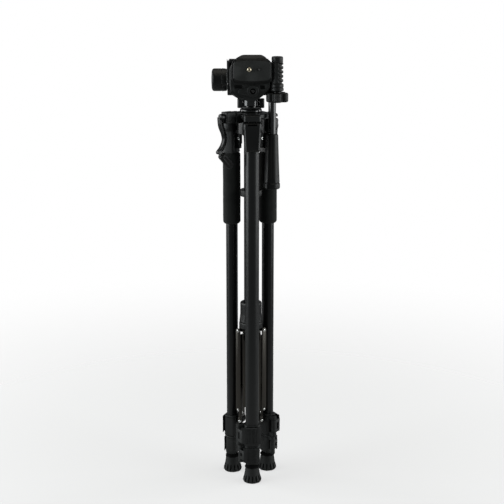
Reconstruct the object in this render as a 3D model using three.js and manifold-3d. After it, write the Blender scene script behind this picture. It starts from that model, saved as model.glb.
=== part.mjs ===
// Folded photo and video tripod with a three-way pan head, in millimetres, +Z up.
// The tripod stands on its three feet. Its vertical axis is the centre column's axis.
import * as THREE from 'three';
import { mergeVertices } from 'three/addons/utils/BufferGeometryUtils.js';
import Module from 'manifold-3d';

const wasm = await Module();
wasm.setup();

// ---------------------------------------------------------------- driving dimensions
const CLEARANCE = 0.35;           // between neighbouring pieces
const CENTRE_SHIFT = [1.5, 7.3];  // moves the folded object's box onto the origin

const LEG_AZIMUTHS = { front: 3.5, right: 125.5, left: -114.5 };  // degrees, 0 faces -Y
const LEG_RADIUS = 33.5;          // leg tube axis to column axis
const LEG_PIVOT = { radius: 35.5, z: 586.5, pin: 2.5 };
const UPPER_TUBE = { width: 21.8, depth: 18.0, wall: 1.2, bottom: 68.4, top: 570 };
const MIDDLE_TUBE = { width: 18.7, depth: 14.9, wall: 1.0, bottom: 38.5, top: 500 };
const LOWER_TUBE = { width: 16.0, depth: 12.2, wall: 1.0, bottom: 14, top: 470 };
const FOAM = { width: 30, depth: 27.5, bottom: 424, top: 538 };
const CASTING = { bottom: 548, shoulder: 589.6, top: 592.4, corner: 4 };
const UPPER_LOCK = {
  halfWidth: 13, inner: 23, outer: 44.2, bottom: 63.5, top: 99.5,
  barrelX: -21.3, barrelRadius: 31.5, barrel: 4.2, shelf: 4.6,
  leverLeft: -18.4, leverRight: 14, leverOuter: 47.4, leverBottom: 69, leverTop: 97,
};
const LOWER_LOCK = {
  halfWidth: 12.4, inner: 23.8, outer: 42.6, bottom: 33, top: 62.8,
  barrelX: -18.3, barrelRadius: 31, barrel: 4.1, shelf: 5.1,
  leverLeft: -14.8, leverRight: 11.6, leverOuter: 45.2, leverBottom: 36, leverTop: 60.4,
};
const FOOT = { height: 27.5, pocket: 13.5 };
const STRUT = {
  radius: 16.5, top: 248.5, bottom: 91, halfWidth: 14.2, plate: 1.3, depth: 4.2,
  pin: 2, channelEnd: 117, webTop: 237, linkHalfWidth: 8.5, linkTop: 150, linkDepth: 2,
};
const SLEEVE = { radius: 11, wall: 1.1, bottom: 150, top: 598.6 };
const SLEEVE_RING = { radius: 17.5, fit: 0.05, bottom: 471, top: 481 };
const COLUMN = { radius: 9.5, wall: 1.2, bottom: 155, top: 603 };
const HUB = { cup: 17.3, skirt: 18.6, flange: 19, flangeBottom: 253.6, flangeTop: 263, top: 296.5 };
const SPIDER = { body: 21.5, disc: 27, bottom: 570, discBottom: 596, top: 603, lug: 44.6, frontLug: 604.6, sideLug: 600 };

const CRANK_AZIMUTH = -54.5;
const CRANK = { z: 600, shaft: 4, inner: 24, housingEnd: 51, hub: 5.4, hubEnd: 58.5, halfWidth: 3.6, end: 3.5 };
const CRANK_ARM_LINE = [[56.8, 600], [56.4, 587], [51.8, 574.5], [50.4, 564], [54.4, 554], [60.5, 546]];
const CRANK_ARM_HALF = [4.4, 3.4, 3, 2.7, 2.7, 3.4];
const CRANK_KNOB = { pivot: [60.5, 546], tilt: 43, start: 5.2, length: 28, radius: 6.3 };

const NECK = { radius: 12.9, bottom: 613.6, top: 625.2 };
const FLANGE = { radius: 17.2, bottom: 603.5, top: 609.7, stud: 5 };
const LOCK_RING = { radius: 15.2, bottom: 610.1, top: 613.2, wingOut: 20.8, wingTop: 624.8 };
const TILT_Z = 654;
const POST = { halfWidth: 13, depth: 10.5, bearing: 13 };
const AXLE_RADIUS = 4;
const DRAG_KNOB = { radius: 17.4, inner: -38.6, outer: -60.2 };
const CHEEK = { left: -36.3, right: 27, radius: 24, back: 2, top: 688 };
const FRONT_WALL = { outer: -19.6, inner: -15.8, bottom: 634, top: 688, left: -33.6, right: 27 };
const BARREL = { x: 40.2, y: -35, radius: 9.2, bottom: 652.6, top: 684, pin: 3 };
const BARREL_CAP = { radius: 8.6, top: 693 };
const BARREL_FLARE = { radius: 10, bottom: 641 };
const STAR_KNOB = { radius: 17.3, lobes: 5, bottom: 624.6, top: 638.4 };
const ROD = { x: 33, y: -12, radius: 5.95, bottom: 556, top: 661 };
const SOCKET = { radius: 7.5, bottom: 641, top: 667 };
const GRIP = { topRadius: 9.8, lowRadius: 12.3, ring: 12.7, top: 571.7, ringTop: 494, bottom: 485 };

const PLATFORM = { front: -40.5, back: -20 };
const PLATFORM_OUTLINE = [
  [-32.5, 676], [-32.5, 648], [-31, 640], [-25.5, 633], [-19, 629.2], [0, 624.6], [4, 624.2],
  [18.6, 633.5], [23.3, 639], [28.5, 644], [29.5, 650], [29.5, 678], [24.5, 690.5],
  [17, 695.8], [-13, 695.8], [-23, 690.5],
];
const PLATE = { left: -29, right: 31.4, low: 652, high: 691.4, bow: 2.4, back: -40.9, front: -46.2 };
const PAD = { left: -25, right: 30, low: 657, high: 688.4, bow: 2.2, back: -46.5, front: -47.3 };
const CAMERA_SCREW = { x: -2.3, z: 674.8, radius: 3.175, head: 7, tip: -52.6 };
const LOCATING_PIN = { x: 12.2, z: 674.8, radius: 1.9, tip: -49.8, back: -42 };
const LEVER = { x: 3.3, z: 641.3, boss: 9.4, front: -44.6, back: -41, pin: 2.2 };

// ---------------------------------------------------------------- materials
const finish = (color, roughness, metalness) => new THREE.MeshStandardMaterial({ color, roughness, metalness });
const MATERIALS = {
  casting: () => finish(0x1d1f20, 0.5, 0.1),
  tube: () => finish(0x222526, 0.35, 0.7),
  foam: () => finish(0x1b1c1b, 0.95, 0),
  plastic: () => finish(0x1a1b1b, 0.55, 0),
  gloss: () => finish(0x121314, 0.15, 0.3),
  rubber: () => finish(0x1c1d1d, 0.8, 0),
  strut: () => finish(0x4b4742, 0.4, 0.6),
  steel: () => finish(0xc9c6bd, 0.25, 1),
};

// ---------------------------------------------------------------- shape helpers
function solid(geometry) {
  const bare = geometry.index ? geometry.toNonIndexed() : geometry.clone();
  bare.deleteAttribute('normal');
  bare.deleteAttribute('uv');
  const merged = mergeVertices(bare, 1e-4);
  const index = merged.index.array;
  const triangles = [];
  for (let i = 0; i < index.length; i += 3) {
    const [a, b, c] = [index[i], index[i + 1], index[i + 2]];
    if (a !== b && b !== c && c !== a) triangles.push(a, b, c);
  }
  return new wasm.Manifold(new wasm.Mesh({
    numProp: 3,
    vertProperties: new Float32Array(merged.attributes.position.array),
    triVerts: new Uint32Array(triangles),
  }));
}

function node(name, body, material) {
  const { vertProperties, triVerts } = body.getMesh();
  const geometry = new THREE.BufferGeometry();
  geometry.setAttribute('position', new THREE.BufferAttribute(vertProperties, 3));
  geometry.setIndex(new THREE.BufferAttribute(triVerts, 1));
  geometry.computeVertexNormals();
  const mesh = new THREE.Mesh(geometry, material);
  mesh.name = name;
  return mesh;
}

function block(x0, x1, y0, y1, z0, z1) {
  const geometry = new THREE.BoxGeometry(x1 - x0, y1 - y0, z1 - z0);
  geometry.translate((x0 + x1) / 2, (y0 + y1) / 2, (z0 + z1) / 2);
  return solid(geometry);
}

// A turned piece about the vertical line through (x, y); profile is [radius, z] from low to high.
function turned(profile, x = 0, y = 0, segments = 20) {
  const geometry = new THREE.LatheGeometry(profile.map(([r, z]) => new THREE.Vector2(r, z)), segments);
  geometry.rotateX(Math.PI / 2);
  geometry.translate(x, y, 0);
  return solid(geometry);
}

const upright = (radius, z0, z1, x = 0, y = 0, segments = 20) =>
  turned([[0, z0], [radius, z0], [radius, z1], [0, z1]], x, y, segments);

// A round bar along X or Y through the given point of the other two axes.
function barAlongX(radius, x0, x1, y, z, segments = 16) {
  const geometry = new THREE.CylinderGeometry(radius, radius, x1 - x0, segments);
  geometry.rotateZ(Math.PI / 2);
  geometry.translate((x0 + x1) / 2, y, z);
  return solid(geometry);
}

function barAlongY(radius, y0, y1, x, z, segments = 16) {
  const geometry = new THREE.CylinderGeometry(radius, radius, y1 - y0, segments);
  geometry.translate(x, (y0 + y1) / 2, z);
  return solid(geometry);
}

// Points of an oval centred on (x, y).
function oval(width, depth, x = 0, y = 0, count = 16) {
  return Array.from({ length: count }, (_, i) => {
    const angle = (i / count) * 2 * Math.PI;
    return [x + (width / 2) * Math.cos(angle), y + (depth / 2) * Math.sin(angle)];
  });
}

function roundedRectangle(x0, x1, y0, y1, radius, perCorner = 2) {
  const corners = [[x1, y1, 0], [x0, y1, 1], [x0, y0, 2], [x1, y0, 3]];
  return corners.flatMap(([x, y, quarter]) => {
    const cx = x + (x === x1 ? -radius : radius);
    const cy = y + (y === y1 ? -radius : radius);
    return Array.from({ length: perCorner + 1 }, (_, i) => {
      const angle = (quarter + i / perCorner) * (Math.PI / 2);
      return [cx + radius * Math.cos(angle), cy + radius * Math.sin(angle)];
    });
  });
}

// Joins equal-length rings of [x, y] points at rising heights into one closed body.
function loft(levels) {
  const area = THREE.ShapeUtils.area(levels[0].points.map(([x, y]) => ({ x, y })));
  const rings = levels.map(({ points, z }) => ({ points: area > 0 ? points : [...points].reverse(), z }));
  const count = rings[0].points.length;
  const positions = rings.flatMap(({ points, z }) => points.flatMap(([x, y]) => [x, y, z]));
  const index = [];
  for (let level = 0; level + 1 < rings.length; level += 1) {
    for (let i = 0; i < count; i += 1) {
      const low = level * count + i;
      const lowNext = level * count + ((i + 1) % count);
      index.push(low, lowNext, lowNext + count, low, lowNext + count, low + count);
    }
  }
  const last = (rings.length - 1) * count;
  const flat = (ring) => ring.points.map(([x, y]) => new THREE.Vector2(x, y));
  const cap = (ring) => THREE.ShapeUtils.triangulateShape(flat(ring), []);
  cap(rings[0]).forEach(([a, b, c]) => index.push(a, c, b));
  cap(rings[rings.length - 1]).forEach(([a, b, c]) => index.push(last + a, last + b, last + c));
  const geometry = new THREE.BufferGeometry();
  geometry.setAttribute('position', new THREE.Float32BufferAttribute(positions, 3));
  geometry.setIndex(index);
  return solid(geometry);
}

const prism = (points, z0, z1) => loft([{ points, z: z0 }, { points, z: z1 }]);

// An outline in X and Z, made solid from y0 to y1.
function plateXZ(points, y0, y1) {
  const flat = prism(points.map(([x, z]) => [x, z]), -y1, -y0);
  return flat.rotate([90, 0, 0]);
}

// A strip of changing half width along a smooth line of [a, b] points, as a closed outline.
function ribbon(line, halfWidths, steps = 14) {
  const curve = new THREE.CatmullRomCurve3(line.map(([a, b]) => new THREE.Vector3(a, b, 0)));
  const widths = new THREE.CatmullRomCurve3(halfWidths.map((w, i) => new THREE.Vector3(i, w, 0)));
  const left = [];
  const right = [];
  for (let i = 0; i <= steps; i += 1) {
    const point = curve.getPoint(i / steps);
    const along = curve.getTangent(i / steps);
    const half = widths.getPoint(i / steps).y;
    left.push([point.x - along.y * half, point.y + along.x * half]);
    right.unshift([point.x + along.y * half, point.y - along.x * half]);
  }
  return [...left, ...right];
}

// ---------------------------------------------------------------- legs, in a frame that faces -Y
const tubeOutline = (tube, grow = 0) => oval(tube.width + grow, tube.depth + grow, 0, -LEG_RADIUS);

function legTube(tube) {
  const outside = prism(tubeOutline(tube), tube.bottom, tube.top);
  const inside = prism(tubeOutline(tube, -2 * tube.wall), tube.bottom - 1, tube.top + 1);
  return outside.subtract(inside);
}

function foamSleeve() {
  const edge = 2;
  const ring = (shrink, z) => ({ points: oval(FOAM.width - shrink, FOAM.depth - shrink, 0, -LEG_RADIUS), z });
  const outside = loft([
    ring(edge, FOAM.bottom), ring(0, FOAM.bottom + edge), ring(0, FOAM.top - edge), ring(edge, FOAM.top),
  ]);
  return outside.subtract(prism(tubeOutline(UPPER_TUBE, 2 * CLEARANCE), FOAM.bottom - 1, FOAM.top + 1));
}

// A casting above a foam sleeve has a straight skirt that reaches down to the foam.
function legCasting(hasFoam) {
  const { bottom, shoulder, top, corner } = CASTING;
  const section = (half, inner, outer, z) => (
    { points: roundedRectangle(-half, half, -outer, -inner, corner), z });
  const skirtBottom = hasFoam ? FOAM.top + CLEARANCE : bottom - 0.1;
  const body = loft([
    section(12.1, 23.2, 43.7, skirtBottom),
    section(12.1, 23.2, 43.7, bottom),
    section(14.2, 24.5, 45, shoulder),
    section(13.2, 25.2, 43.2, top),
  ]);
  const pocket = prism(tubeOutline(UPPER_TUBE, 2 * CLEARANCE), skirtBottom - 1, UPPER_TUBE.top + CLEARANCE);
  const slot = block(-6.5, 6.5, -41.8, -10, UPPER_TUBE.top + 4, top + 5);
  const tab = block(-4.5, 4.5, -24.2, -15.8, bottom + 2, bottom + 18);
  const tabBore = prism(tubeOutline(UPPER_TUBE, 2 * CLEARANCE), bottom, bottom + 20);
  const pin = barAlongX(LEG_PIVOT.pin, -8, 8, -LEG_PIVOT.radius, LEG_PIVOT.z, 16);
  return body.subtract(pocket).subtract(slot).add(tab.subtract(tabBore)).add(pin);
}

function lockCollar(lock, tube, nextTube) {
  const outline = roundedRectangle(-lock.halfWidth, lock.halfWidth, -lock.outer, -lock.inner, 6);
  const body = prism(outline, lock.bottom, lock.top);
  const ear = (z0, z1) => {
    const web = block(lock.barrelX, -lock.halfWidth + 1, -lock.barrelRadius - 4, -lock.barrelRadius + 4, z0, z1);
    return web.add(upright(lock.barrel, z0, z1, lock.barrelX, -lock.barrelRadius, 14));
  };
  const knuckle = leverKnuckle(lock);
  const pin = upright(1.6, lock.bottom + 1, lock.top - 1, lock.barrelX, -lock.barrelRadius, 8);
  const bore = prism(tubeOutline(tube, 2 * CLEARANCE), lock.bottom + lock.shelf, lock.top + 1);
  const lowBore = prism(tubeOutline(nextTube, 2 * CLEARANCE), lock.bottom - 1, lock.top);
  return body
    .add(ear(lock.bottom, knuckle.low - CLEARANCE))
    .add(ear(knuckle.high + CLEARANCE, lock.top))
    .subtract(bore)
    .subtract(lowBore)
    .add(pin);
}

// The lever's knuckle lies between the collar's two ears.
function leverKnuckle(lock) {
  return { low: lock.bottom + 7, high: lock.top - 7 };
}

function lockLever(lock) {
  const inner = lock.outer + 0.5;
  const { leverLeft: left, leverRight: right, leverOuter: outer } = lock;
  const arm = [
    [lock.barrelX - 4, -lock.barrelRadius], [lock.barrelX + 4, -lock.barrelRadius],
    [left + 3, -inner], [left + 3, -outer + 0.6], [left - 1.5, -inner + 1],
  ];
  const front = [
    [left, -inner], [left, -inner - 1.4], [left + 2.4, -outer],
    [right - 3, -outer], [right, -inner - 1], [right, -inner],
  ];
  const { low, high } = leverKnuckle(lock);
  const knuckle = upright(lock.barrel, low, high, lock.barrelX, -lock.barrelRadius, 14);
  const bore = upright(2.1, low - 1, high + 1, lock.barrelX, -lock.barrelRadius, 8);
  return prism(arm, low, high)
    .add(prism(front, lock.leverBottom, lock.leverTop))
    .add(knuckle)
    .subtract(bore);
}

// The upper collar carries the lug and pin for the strut's end link.
function strutLug() {
  const lug = block(-4, 4, -UPPER_LOCK.inner - 1, -STRUT.radius, STRUT.bottom - 4.5, STRUT.bottom + 4.5);
  const nose = barAlongX(4.5, -4, 4, -STRUT.radius, STRUT.bottom, 12);
  const pin = barAlongX(STRUT.pin, -9.4, 9.4, -STRUT.radius, STRUT.bottom, 12);
  const tubeRoom = prism(tubeOutline(UPPER_TUBE, 2 * CLEARANCE), STRUT.bottom - 9, STRUT.bottom + 9);
  return lug.add(nose).add(pin).subtract(tubeRoom);
}

function lowerCollar() {
  const { halfWidth, inner, outer } = LOWER_LOCK;
  const skirt = loft([
    { points: roundedRectangle(-9.6, 9.6, -40.6, -26.4, 5), z: 29.8 },
    { points: roundedRectangle(-halfWidth, halfWidth, -outer, -inner, 6), z: 34 },
  ]);
  const bore = prism(tubeOutline(LOWER_TUBE, 2 * CLEARANCE), 28, 35);
  return lockCollar(LOWER_LOCK, MIDDLE_TUBE, LOWER_TUBE).add(skirt.subtract(bore));
}

function foot() {
  const flare = [[0, 0], [13.4, 0], [14.8, 1.4], [15.2, 3.6], [14.2, 6.6], [12.7, 12], [11.5, 20]];
  const outside = turned([...flare, [10.9, FOOT.height], [0, FOOT.height]], 0, -LEG_RADIUS);
  return outside.subtract(prism(tubeOutline(LOWER_TUBE, 2 * CLEARANCE), FOOT.pocket, FOOT.height + 1));
}

function strutChannel() {
  const { halfWidth, plate, depth, radius } = STRUT;
  const inside = halfWidth - plate;
  const side = (x0) => {
    const flat = block(x0, x0 + plate, -radius - depth, -radius + depth, STRUT.channelEnd, STRUT.top);
    const end = barAlongX(depth, x0, x0 + plate, -radius, STRUT.top, 16);
    return flat.add(end);
  };
  const web = block(-halfWidth, halfWidth, -radius - depth, -radius - depth + 1.1, STRUT.channelEnd, STRUT.webTop);
  const hole = barAlongX(STRUT.pin + 0.4, -halfWidth - 1, halfWidth + 1, -radius, STRUT.top, 12);
  return side(-halfWidth).add(side(inside)).add(web).subtract(hole);
}

function strutLink() {
  const { radius, linkHalfWidth: half, linkDepth: depth, bottom } = STRUT;
  const bar = block(-half, half, -radius - depth, -radius + depth, bottom, STRUT.linkTop);
  const end = barAlongX(3.8, -half, half, -radius, bottom, 14);
  const fork = block(-4.4, 4.4, -radius - 8, -radius + 8, bottom - 8, bottom + 8);
  const hole = barAlongX(STRUT.pin + 0.4, -half - 1, half + 1, -radius, bottom, 12);
  return bar.add(end).subtract(fork).subtract(hole);
}

function legGroup(side) {
  const group = new THREE.Group();
  group.rotation.z = THREE.MathUtils.degToRad(LEG_AZIMUTHS[side]);
  const hasFoam = side !== 'front';
  const upperCollar = lockCollar(UPPER_LOCK, UPPER_TUBE, MIDDLE_TUBE).add(strutLug());
  group.add(
    node(`${side}_leg_casting`, legCasting(hasFoam), MATERIALS.casting()),
    node(`${side}_upper_tube`, legTube(UPPER_TUBE), MATERIALS.tube()),
    node(`${side}_middle_tube`, legTube(MIDDLE_TUBE), MATERIALS.tube()),
    node(`${side}_lower_tube`, legTube(LOWER_TUBE), MATERIALS.tube()),
    node(`${side}_upper_lock_collar`, upperCollar, MATERIALS.plastic()),
    node(`${side}_upper_lock_lever`, lockLever(UPPER_LOCK), MATERIALS.plastic()),
    node(`${side}_lower_lock_collar`, lowerCollar(), MATERIALS.plastic()),
    node(`${side}_lower_lock_lever`, lockLever(LOWER_LOCK), MATERIALS.plastic()),
    node(`${side}_foot`, foot(), MATERIALS.rubber()),
    node(`${side}_strut_channel`, strutChannel(), MATERIALS.strut()),
    node(`${side}_strut_link`, strutLink(), MATERIALS.strut()),
  );
  if (hasFoam) group.add(node(`${side}_foam_sleeve`, foamSleeve(), MATERIALS.foam()));
  return group;
}

// ---------------------------------------------------------------- centre: spider, sleeve, column, hub
function turnedAbout(body, azimuth) {
  return body.rotate([0, 0, azimuth]);
}

const aroundLegs = (make) => Object.entries(LEG_AZIMUTHS)
  .map(([side, azimuth]) => turnedAbout(make(side), azimuth))
  .reduce((sum, piece) => sum.add(piece));

function spiderLug(side) {
  const { radius, z, pin } = LEG_PIVOT;
  const roofTop = side === 'front' ? SPIDER.frontLug : SPIDER.sideLug;
  const roof = prism(roundedRectangle(-13.6, 13.6, -SPIDER.lug, -10, 4), 594.7, roofTop);
  const tongue = block(-6, 6, -radius, -15, z - 4.8, 596);
  const nose = barAlongX(4.8, -6, 6, -radius, z, 20);
  const hole = barAlongX(pin + 0.4, -7, 7, -radius, z, 16);
  return roof.add(tongue).add(nose).subtract(hole);
}

function spider() {
  const body = upright(SPIDER.body, SPIDER.bottom, SPIDER.top);
  const disc = upright(SPIDER.disc, SPIDER.discBottom, SPIDER.top);
  const housingSeat = turnedAbout(block(-9.4, 9.4, -60, -SPIDER.body - 0.4, 580, 620), CRANK_AZIMUTH);
  const bore = upright(SLEEVE.radius + CLEARANCE, SPIDER.bottom - 1, SPIDER.top - 4);
  const lip = upright(COLUMN.radius + CLEARANCE, SPIDER.bottom, 620);
  const flangeSeat = upright(FLANGE.radius + 1, SPIDER.top, 620);
  const gripPath = upright(GRIP.ring + CLEARANCE, SPIDER.bottom - 1, 620, ROD.x, ROD.y);
  return body.add(disc).add(aroundLegs(spiderLug))
    .subtract(housingSeat).subtract(bore).subtract(lip).subtract(flangeSeat).subtract(gripPath);
}

function ringTube(outer, inner, z0, z1) {
  return turned([[inner, z0], [outer, z0], [outer, z1], [inner, z1], [inner, z0]]);
}

// The ring is pressed onto the sleeve and keeps the folded legs apart.
function sleeveRing() {
  const { radius, fit, bottom, top } = SLEEVE_RING;
  const inner = SLEEVE.radius + fit;
  return turned([
    [inner, bottom], [radius - 1, bottom], [radius, bottom + 1],
    [radius, top - 1], [radius - 1, top], [inner, top], [inner, bottom],
  ]);
}

function columnFlange() {
  const { radius, bottom, top, stud } = FLANGE;
  return turned([
    [0, bottom], [radius - 1.6, bottom], [radius, bottom + 1.8], [radius, top - 1.8], [radius - 1.6, top],
    [stud, top], [stud, top + 8.4], [0, top + 8.4],
  ]);
}

function hubLug() {
  const bottom = STRUT.top - 3.6;
  const lug = block(-6, 6, -STRUT.radius - 2.2, -SLEEVE.radius - 1, bottom, HUB.flangeBottom + 1);
  const pin = barAlongX(STRUT.pin, -STRUT.halfWidth - 0.6, STRUT.halfWidth + 0.6, -STRUT.radius, STRUT.top, 12);
  return lug.add(pin);
}

function hub() {
  const bore = SLEEVE.radius + 0.4;
  const cup = turned([
    [bore, HUB.flangeBottom], [HUB.flange, HUB.flangeBottom], [HUB.flange, HUB.flangeTop - 1],
    [HUB.skirt - 1, HUB.flangeTop], [HUB.skirt, HUB.flangeTop + 1.4], [HUB.cup, HUB.flangeTop + 14],
    [HUB.cup, HUB.top - 2], [HUB.cup - 1.6, HUB.top], [bore, HUB.top], [bore, HUB.flangeBottom],
  ]);
  const clear = upright(bore, HUB.flangeBottom - 20, HUB.flangeBottom);
  return cup.add(aroundLegs(hubLug).subtract(clear));
}

// ---------------------------------------------------------------- crank, in a frame that faces -Y
function crankHousing() {
  const inner = prism(roundedRectangle(-8.8, 8.8, -34, -SPIDER.body - 0.8, 1.5), 591, 606.6);
  const outer = prism(roundedRectangle(-8, 8, -CRANK.housingEnd, -33.5, 1.5), 591.6, 607.4);
  const gearRoom = barAlongY(6.7, -31.4, -20, 0, CRANK.z);
  const bore = barAlongY(CRANK.shaft + CLEARANCE, -60, -20, 0, CRANK.z);
  return inner.add(outer).subtract(gearRoom).subtract(bore);
}

function crankShaft() {
  const shaft = barAlongY(CRANK.shaft, -CRANK.hubEnd + 4, -CRANK.inner, 0, CRANK.z);
  const pinion = barAlongY(6.2, -31, -CRANK.inner, 0, CRANK.z, 12);
  const hubDisc = barAlongY(CRANK.hub, -CRANK.hubEnd, -CRANK.housingEnd - 0.6, 0, CRANK.z);
  const outline = ribbon(CRANK_ARM_LINE, CRANK_ARM_HALF).map(([r, z]) => [-r, z]);
  const flat = prism(outline, -CRANK.halfWidth, CRANK.halfWidth);
  const arm = flat.rotate([90, 0, 90]);
  const [pivotRadius, pivotZ] = CRANK_KNOB.pivot;
  const end = barAlongX(CRANK.end, -CRANK.halfWidth, CRANK.halfWidth, -pivotRadius, pivotZ);
  return shaft.add(pinion).add(hubDisc).add(arm).add(end);
}

// The knob hangs from its fold pivot, leaning in under the arm.
function crankKnob() {
  const { pivot, tilt, start, length, radius } = CRANK_KNOB;
  const body = turned([
    [0, -start - length], [radius - 1, -start - length], [radius, -start - length + 1],
    [radius, -start - 1.6], [radius - 1.6, -start], [0, -start],
  ], 0, 0, 24);
  return body.rotate([tilt, 0, 0]).translate([0, -pivot[0], pivot[1]]);
}

// ---------------------------------------------------------------- head
function lockRing() {
  const { radius, bottom, top, wingOut, wingTop } = LOCK_RING;
  const ring = upright(radius, bottom, top);
  const bar = block(-wingOut, wingOut, -6, 6, bottom + 0.6, wingTop);
  const between = block(-13.9, 13.9, -7, 7, top, wingTop + 1);
  const neckRoom = upright(NECK.radius + CLEARANCE, NECK.bottom - CLEARANCE, 640);
  const studBore = upright(FLANGE.stud + CLEARANCE, 600, 620);
  return ring.add(bar.subtract(between)).subtract(neckRoom).subtract(studBore);
}

function panBase() {
  const neck = turned([
    [0, NECK.bottom], [NECK.radius - 0.8, NECK.bottom], [NECK.radius, NECK.bottom + 1],
    [NECK.radius - 0.5, 620], [NECK.radius, NECK.top], [0, NECK.top],
  ]);
  const post = block(-POST.halfWidth, POST.halfWidth, -POST.depth, POST.depth, NECK.top - 0.1, TILT_Z);
  const corners = upright(14.4, NECK.bottom, TILT_Z + 1);
  const bearing = barAlongX(POST.bearing, -POST.halfWidth, POST.halfWidth, 0, TILT_Z);
  return neck
    .add(post.intersect(corners))
    .add(bearing)
    .subtract(barAlongX(AXLE_RADIUS + CLEARANCE, -20, 20, 0, TILT_Z))
    .subtract(upright(FLANGE.stud + CLEARANCE, 600, FLANGE.top + 8.8));
}

function dragKnob() {
  const { radius, inner, outer } = DRAG_KNOB;
  const profile = [
    [0, 0], [radius - 4.5, 0], [radius - 2, 0.9], [radius - 0.6, 2.2], [radius, 4],
    [radius, inner - outer - 3], [radius - 0.8, inner - outer - 2.6], [radius - 0.8, inner - outer], [0, inner - outer],
  ];
  const knob = turned(profile, 0, 0, 24).rotate([0, 90, 0]).translate([outer, 0, TILT_Z]);
  return knob.add(barAlongX(AXLE_RADIUS, inner - 1, CHEEK.right - 3, 0, TILT_Z));
}

function tiltFrame() {
  const cheek = (x0, x1) => {
    const round = barAlongX(CHEEK.radius, x0, x1, 0, TILT_Z, 32);
    const upper = block(x0, x1, FRONT_WALL.outer, CHEEK.back, TILT_Z - 18, CHEEK.top - 4);
    return round.add(upper);
  };
  const { left, right, outer, inner, bottom, top } = FRONT_WALL;
  const wall = block(left, right, outer, inner, bottom, top);
  const axleBore = barAlongX(AXLE_RADIUS + CLEARANCE, CHEEK.left - 1, CHEEK.right - 2.5, 0, TILT_Z);
  const frontCut = block(-60, 60, -40, outer, 600, 720);
  const room = POST.halfWidth + CLEARANCE;
  const postRoom = block(-room, room, inner, 40, 600, 720);
  return cheek(CHEEK.left, -room)
    .add(cheek(room, CHEEK.right))
    .add(wall)
    .subtract(frontCut)
    .subtract(upright(SOCKET.radius + 0.5, 600, 720, ROD.x, ROD.y))
    .subtract(axleBore)
    .subtract(postRoom);
}

function sideBracket() {
  const { x, y } = BARREL;
  const socket = upright(SOCKET.radius, SOCKET.bottom, SOCKET.top, ROD.x, ROD.y);
  const flareTop = BARREL.bottom - CLEARANCE;
  const capBottom = BARREL.top + CLEARANCE;
  const flare = turned([
    [0, BARREL_FLARE.bottom], [BARREL_FLARE.radius - 1, BARREL_FLARE.bottom],
    [BARREL_FLARE.radius, BARREL_FLARE.bottom + 1], [BARREL_FLARE.radius - 0.6, flareTop], [0, flareTop],
  ], x, y);
  const cap = turned([
    [0, capBottom], [BARREL_CAP.radius, capBottom], [BARREL_CAP.radius, BARREL_CAP.top - 2],
    [BARREL_CAP.radius - 2, BARREL_CAP.top], [0, BARREL_CAP.top],
  ], x, y);
  const pin = upright(BARREL.pin, BARREL.bottom - 2, BARREL.top + 2, x, y, 16);
  const rib = block(x - 6.5, x + 6.5, -24.4, -16, BARREL_FLARE.bottom, BARREL_CAP.top - 2);
  const lowArm = block(x - 6.5, x + 6.5, y, -20, BARREL_FLARE.bottom, flareTop);
  const highArm = block(x - 6.5, x + 6.5, y, -20, capBottom, BARREL_CAP.top - 2);
  const joinPlate = block(CHEEK.right + CLEARANCE, x - 2, -19, -6, 646, 682);
  const rodBore = upright(ROD.radius + CLEARANCE, 600, ROD.top + CLEARANCE, ROD.x, ROD.y);
  return socket.add(flare).add(cap).add(pin).add(rib).add(lowArm).add(highArm).add(joinPlate).subtract(rodBore);
}

function starKnob() {
  const { radius, lobes, bottom, top } = STAR_KNOB;
  const count = lobes * 7;
  const outline = Array.from({ length: count }, (_, i) => {
    const angle = (i / count) * 2 * Math.PI;
    const r = radius - 2.6 * (0.5 - 0.5 * Math.cos(angle * lobes)) ** 2;
    return [r * Math.sin(angle), -r * Math.cos(angle)];
  });
  const body = prism(outline, bottom, top);
  const neck = upright(6, top - 1, BARREL_FLARE.bottom - 0.4);
  return body.add(neck).translate([BARREL.x, BARREL.y, 0]);
}

function handleRod() {
  return upright(ROD.radius, ROD.bottom, ROD.top, ROD.x, ROD.y, 24);
}

function handleGrip() {
  const { topRadius, lowRadius, ring, top, ringTop, bottom } = GRIP;
  const body = turned([
    [0, bottom], [ring - 1.4, bottom], [ring, bottom + 1.4], [ring, ringTop - 1], [ring - 0.8, ringTop],
    [lowRadius, ringTop + 0.6], [topRadius, top - 1.6], [topRadius - 1.6, top], [0, top],
  ], ROD.x, ROD.y);
  return body.subtract(upright(ROD.radius + CLEARANCE, ROD.bottom - CLEARANCE, top + 1, ROD.x, ROD.y));
}

function platform() {
  const { front, back } = PLATFORM;
  const body = plateXZ(PLATFORM_OUTLINE, front, back);
  const drum = upright(BARREL.radius, BARREL.bottom, BARREL.top, BARREL.x, BARREL.y);
  const hinge = block(28, BARREL.x - 3, -40, -30, BARREL.bottom + 2, BARREL.top - 2);
  const drumBore = upright(BARREL.pin + CLEARANCE, BARREL.bottom - 1, BARREL.top + 1, BARREL.x, BARREL.y, 16);
  const plateSeat = block(-14, 19, front - 1, front + 4, 661, 688);
  const leverPin = barAlongY(LEVER.pin, LEVER.front + 0.8, front + 1, LEVER.x, LEVER.z, 16);
  return body.add(drum).add(hinge).subtract(drumBore).subtract(plateSeat).add(leverPin);
}

// Adds points along straight stretches, so that an outline can be bent.
function densify(points, step) {
  return points.flatMap(([x, z], i) => {
    const [nx, nz] = points[(i + 1) % points.length];
    const parts = Math.max(1, Math.round(Math.hypot(nx - x, nz - z) / step));
    return Array.from({ length: parts }, (_, k) => [x + ((nx - x) * k) / parts, z + ((nz - z) * k) / parts]);
  });
}

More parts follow.
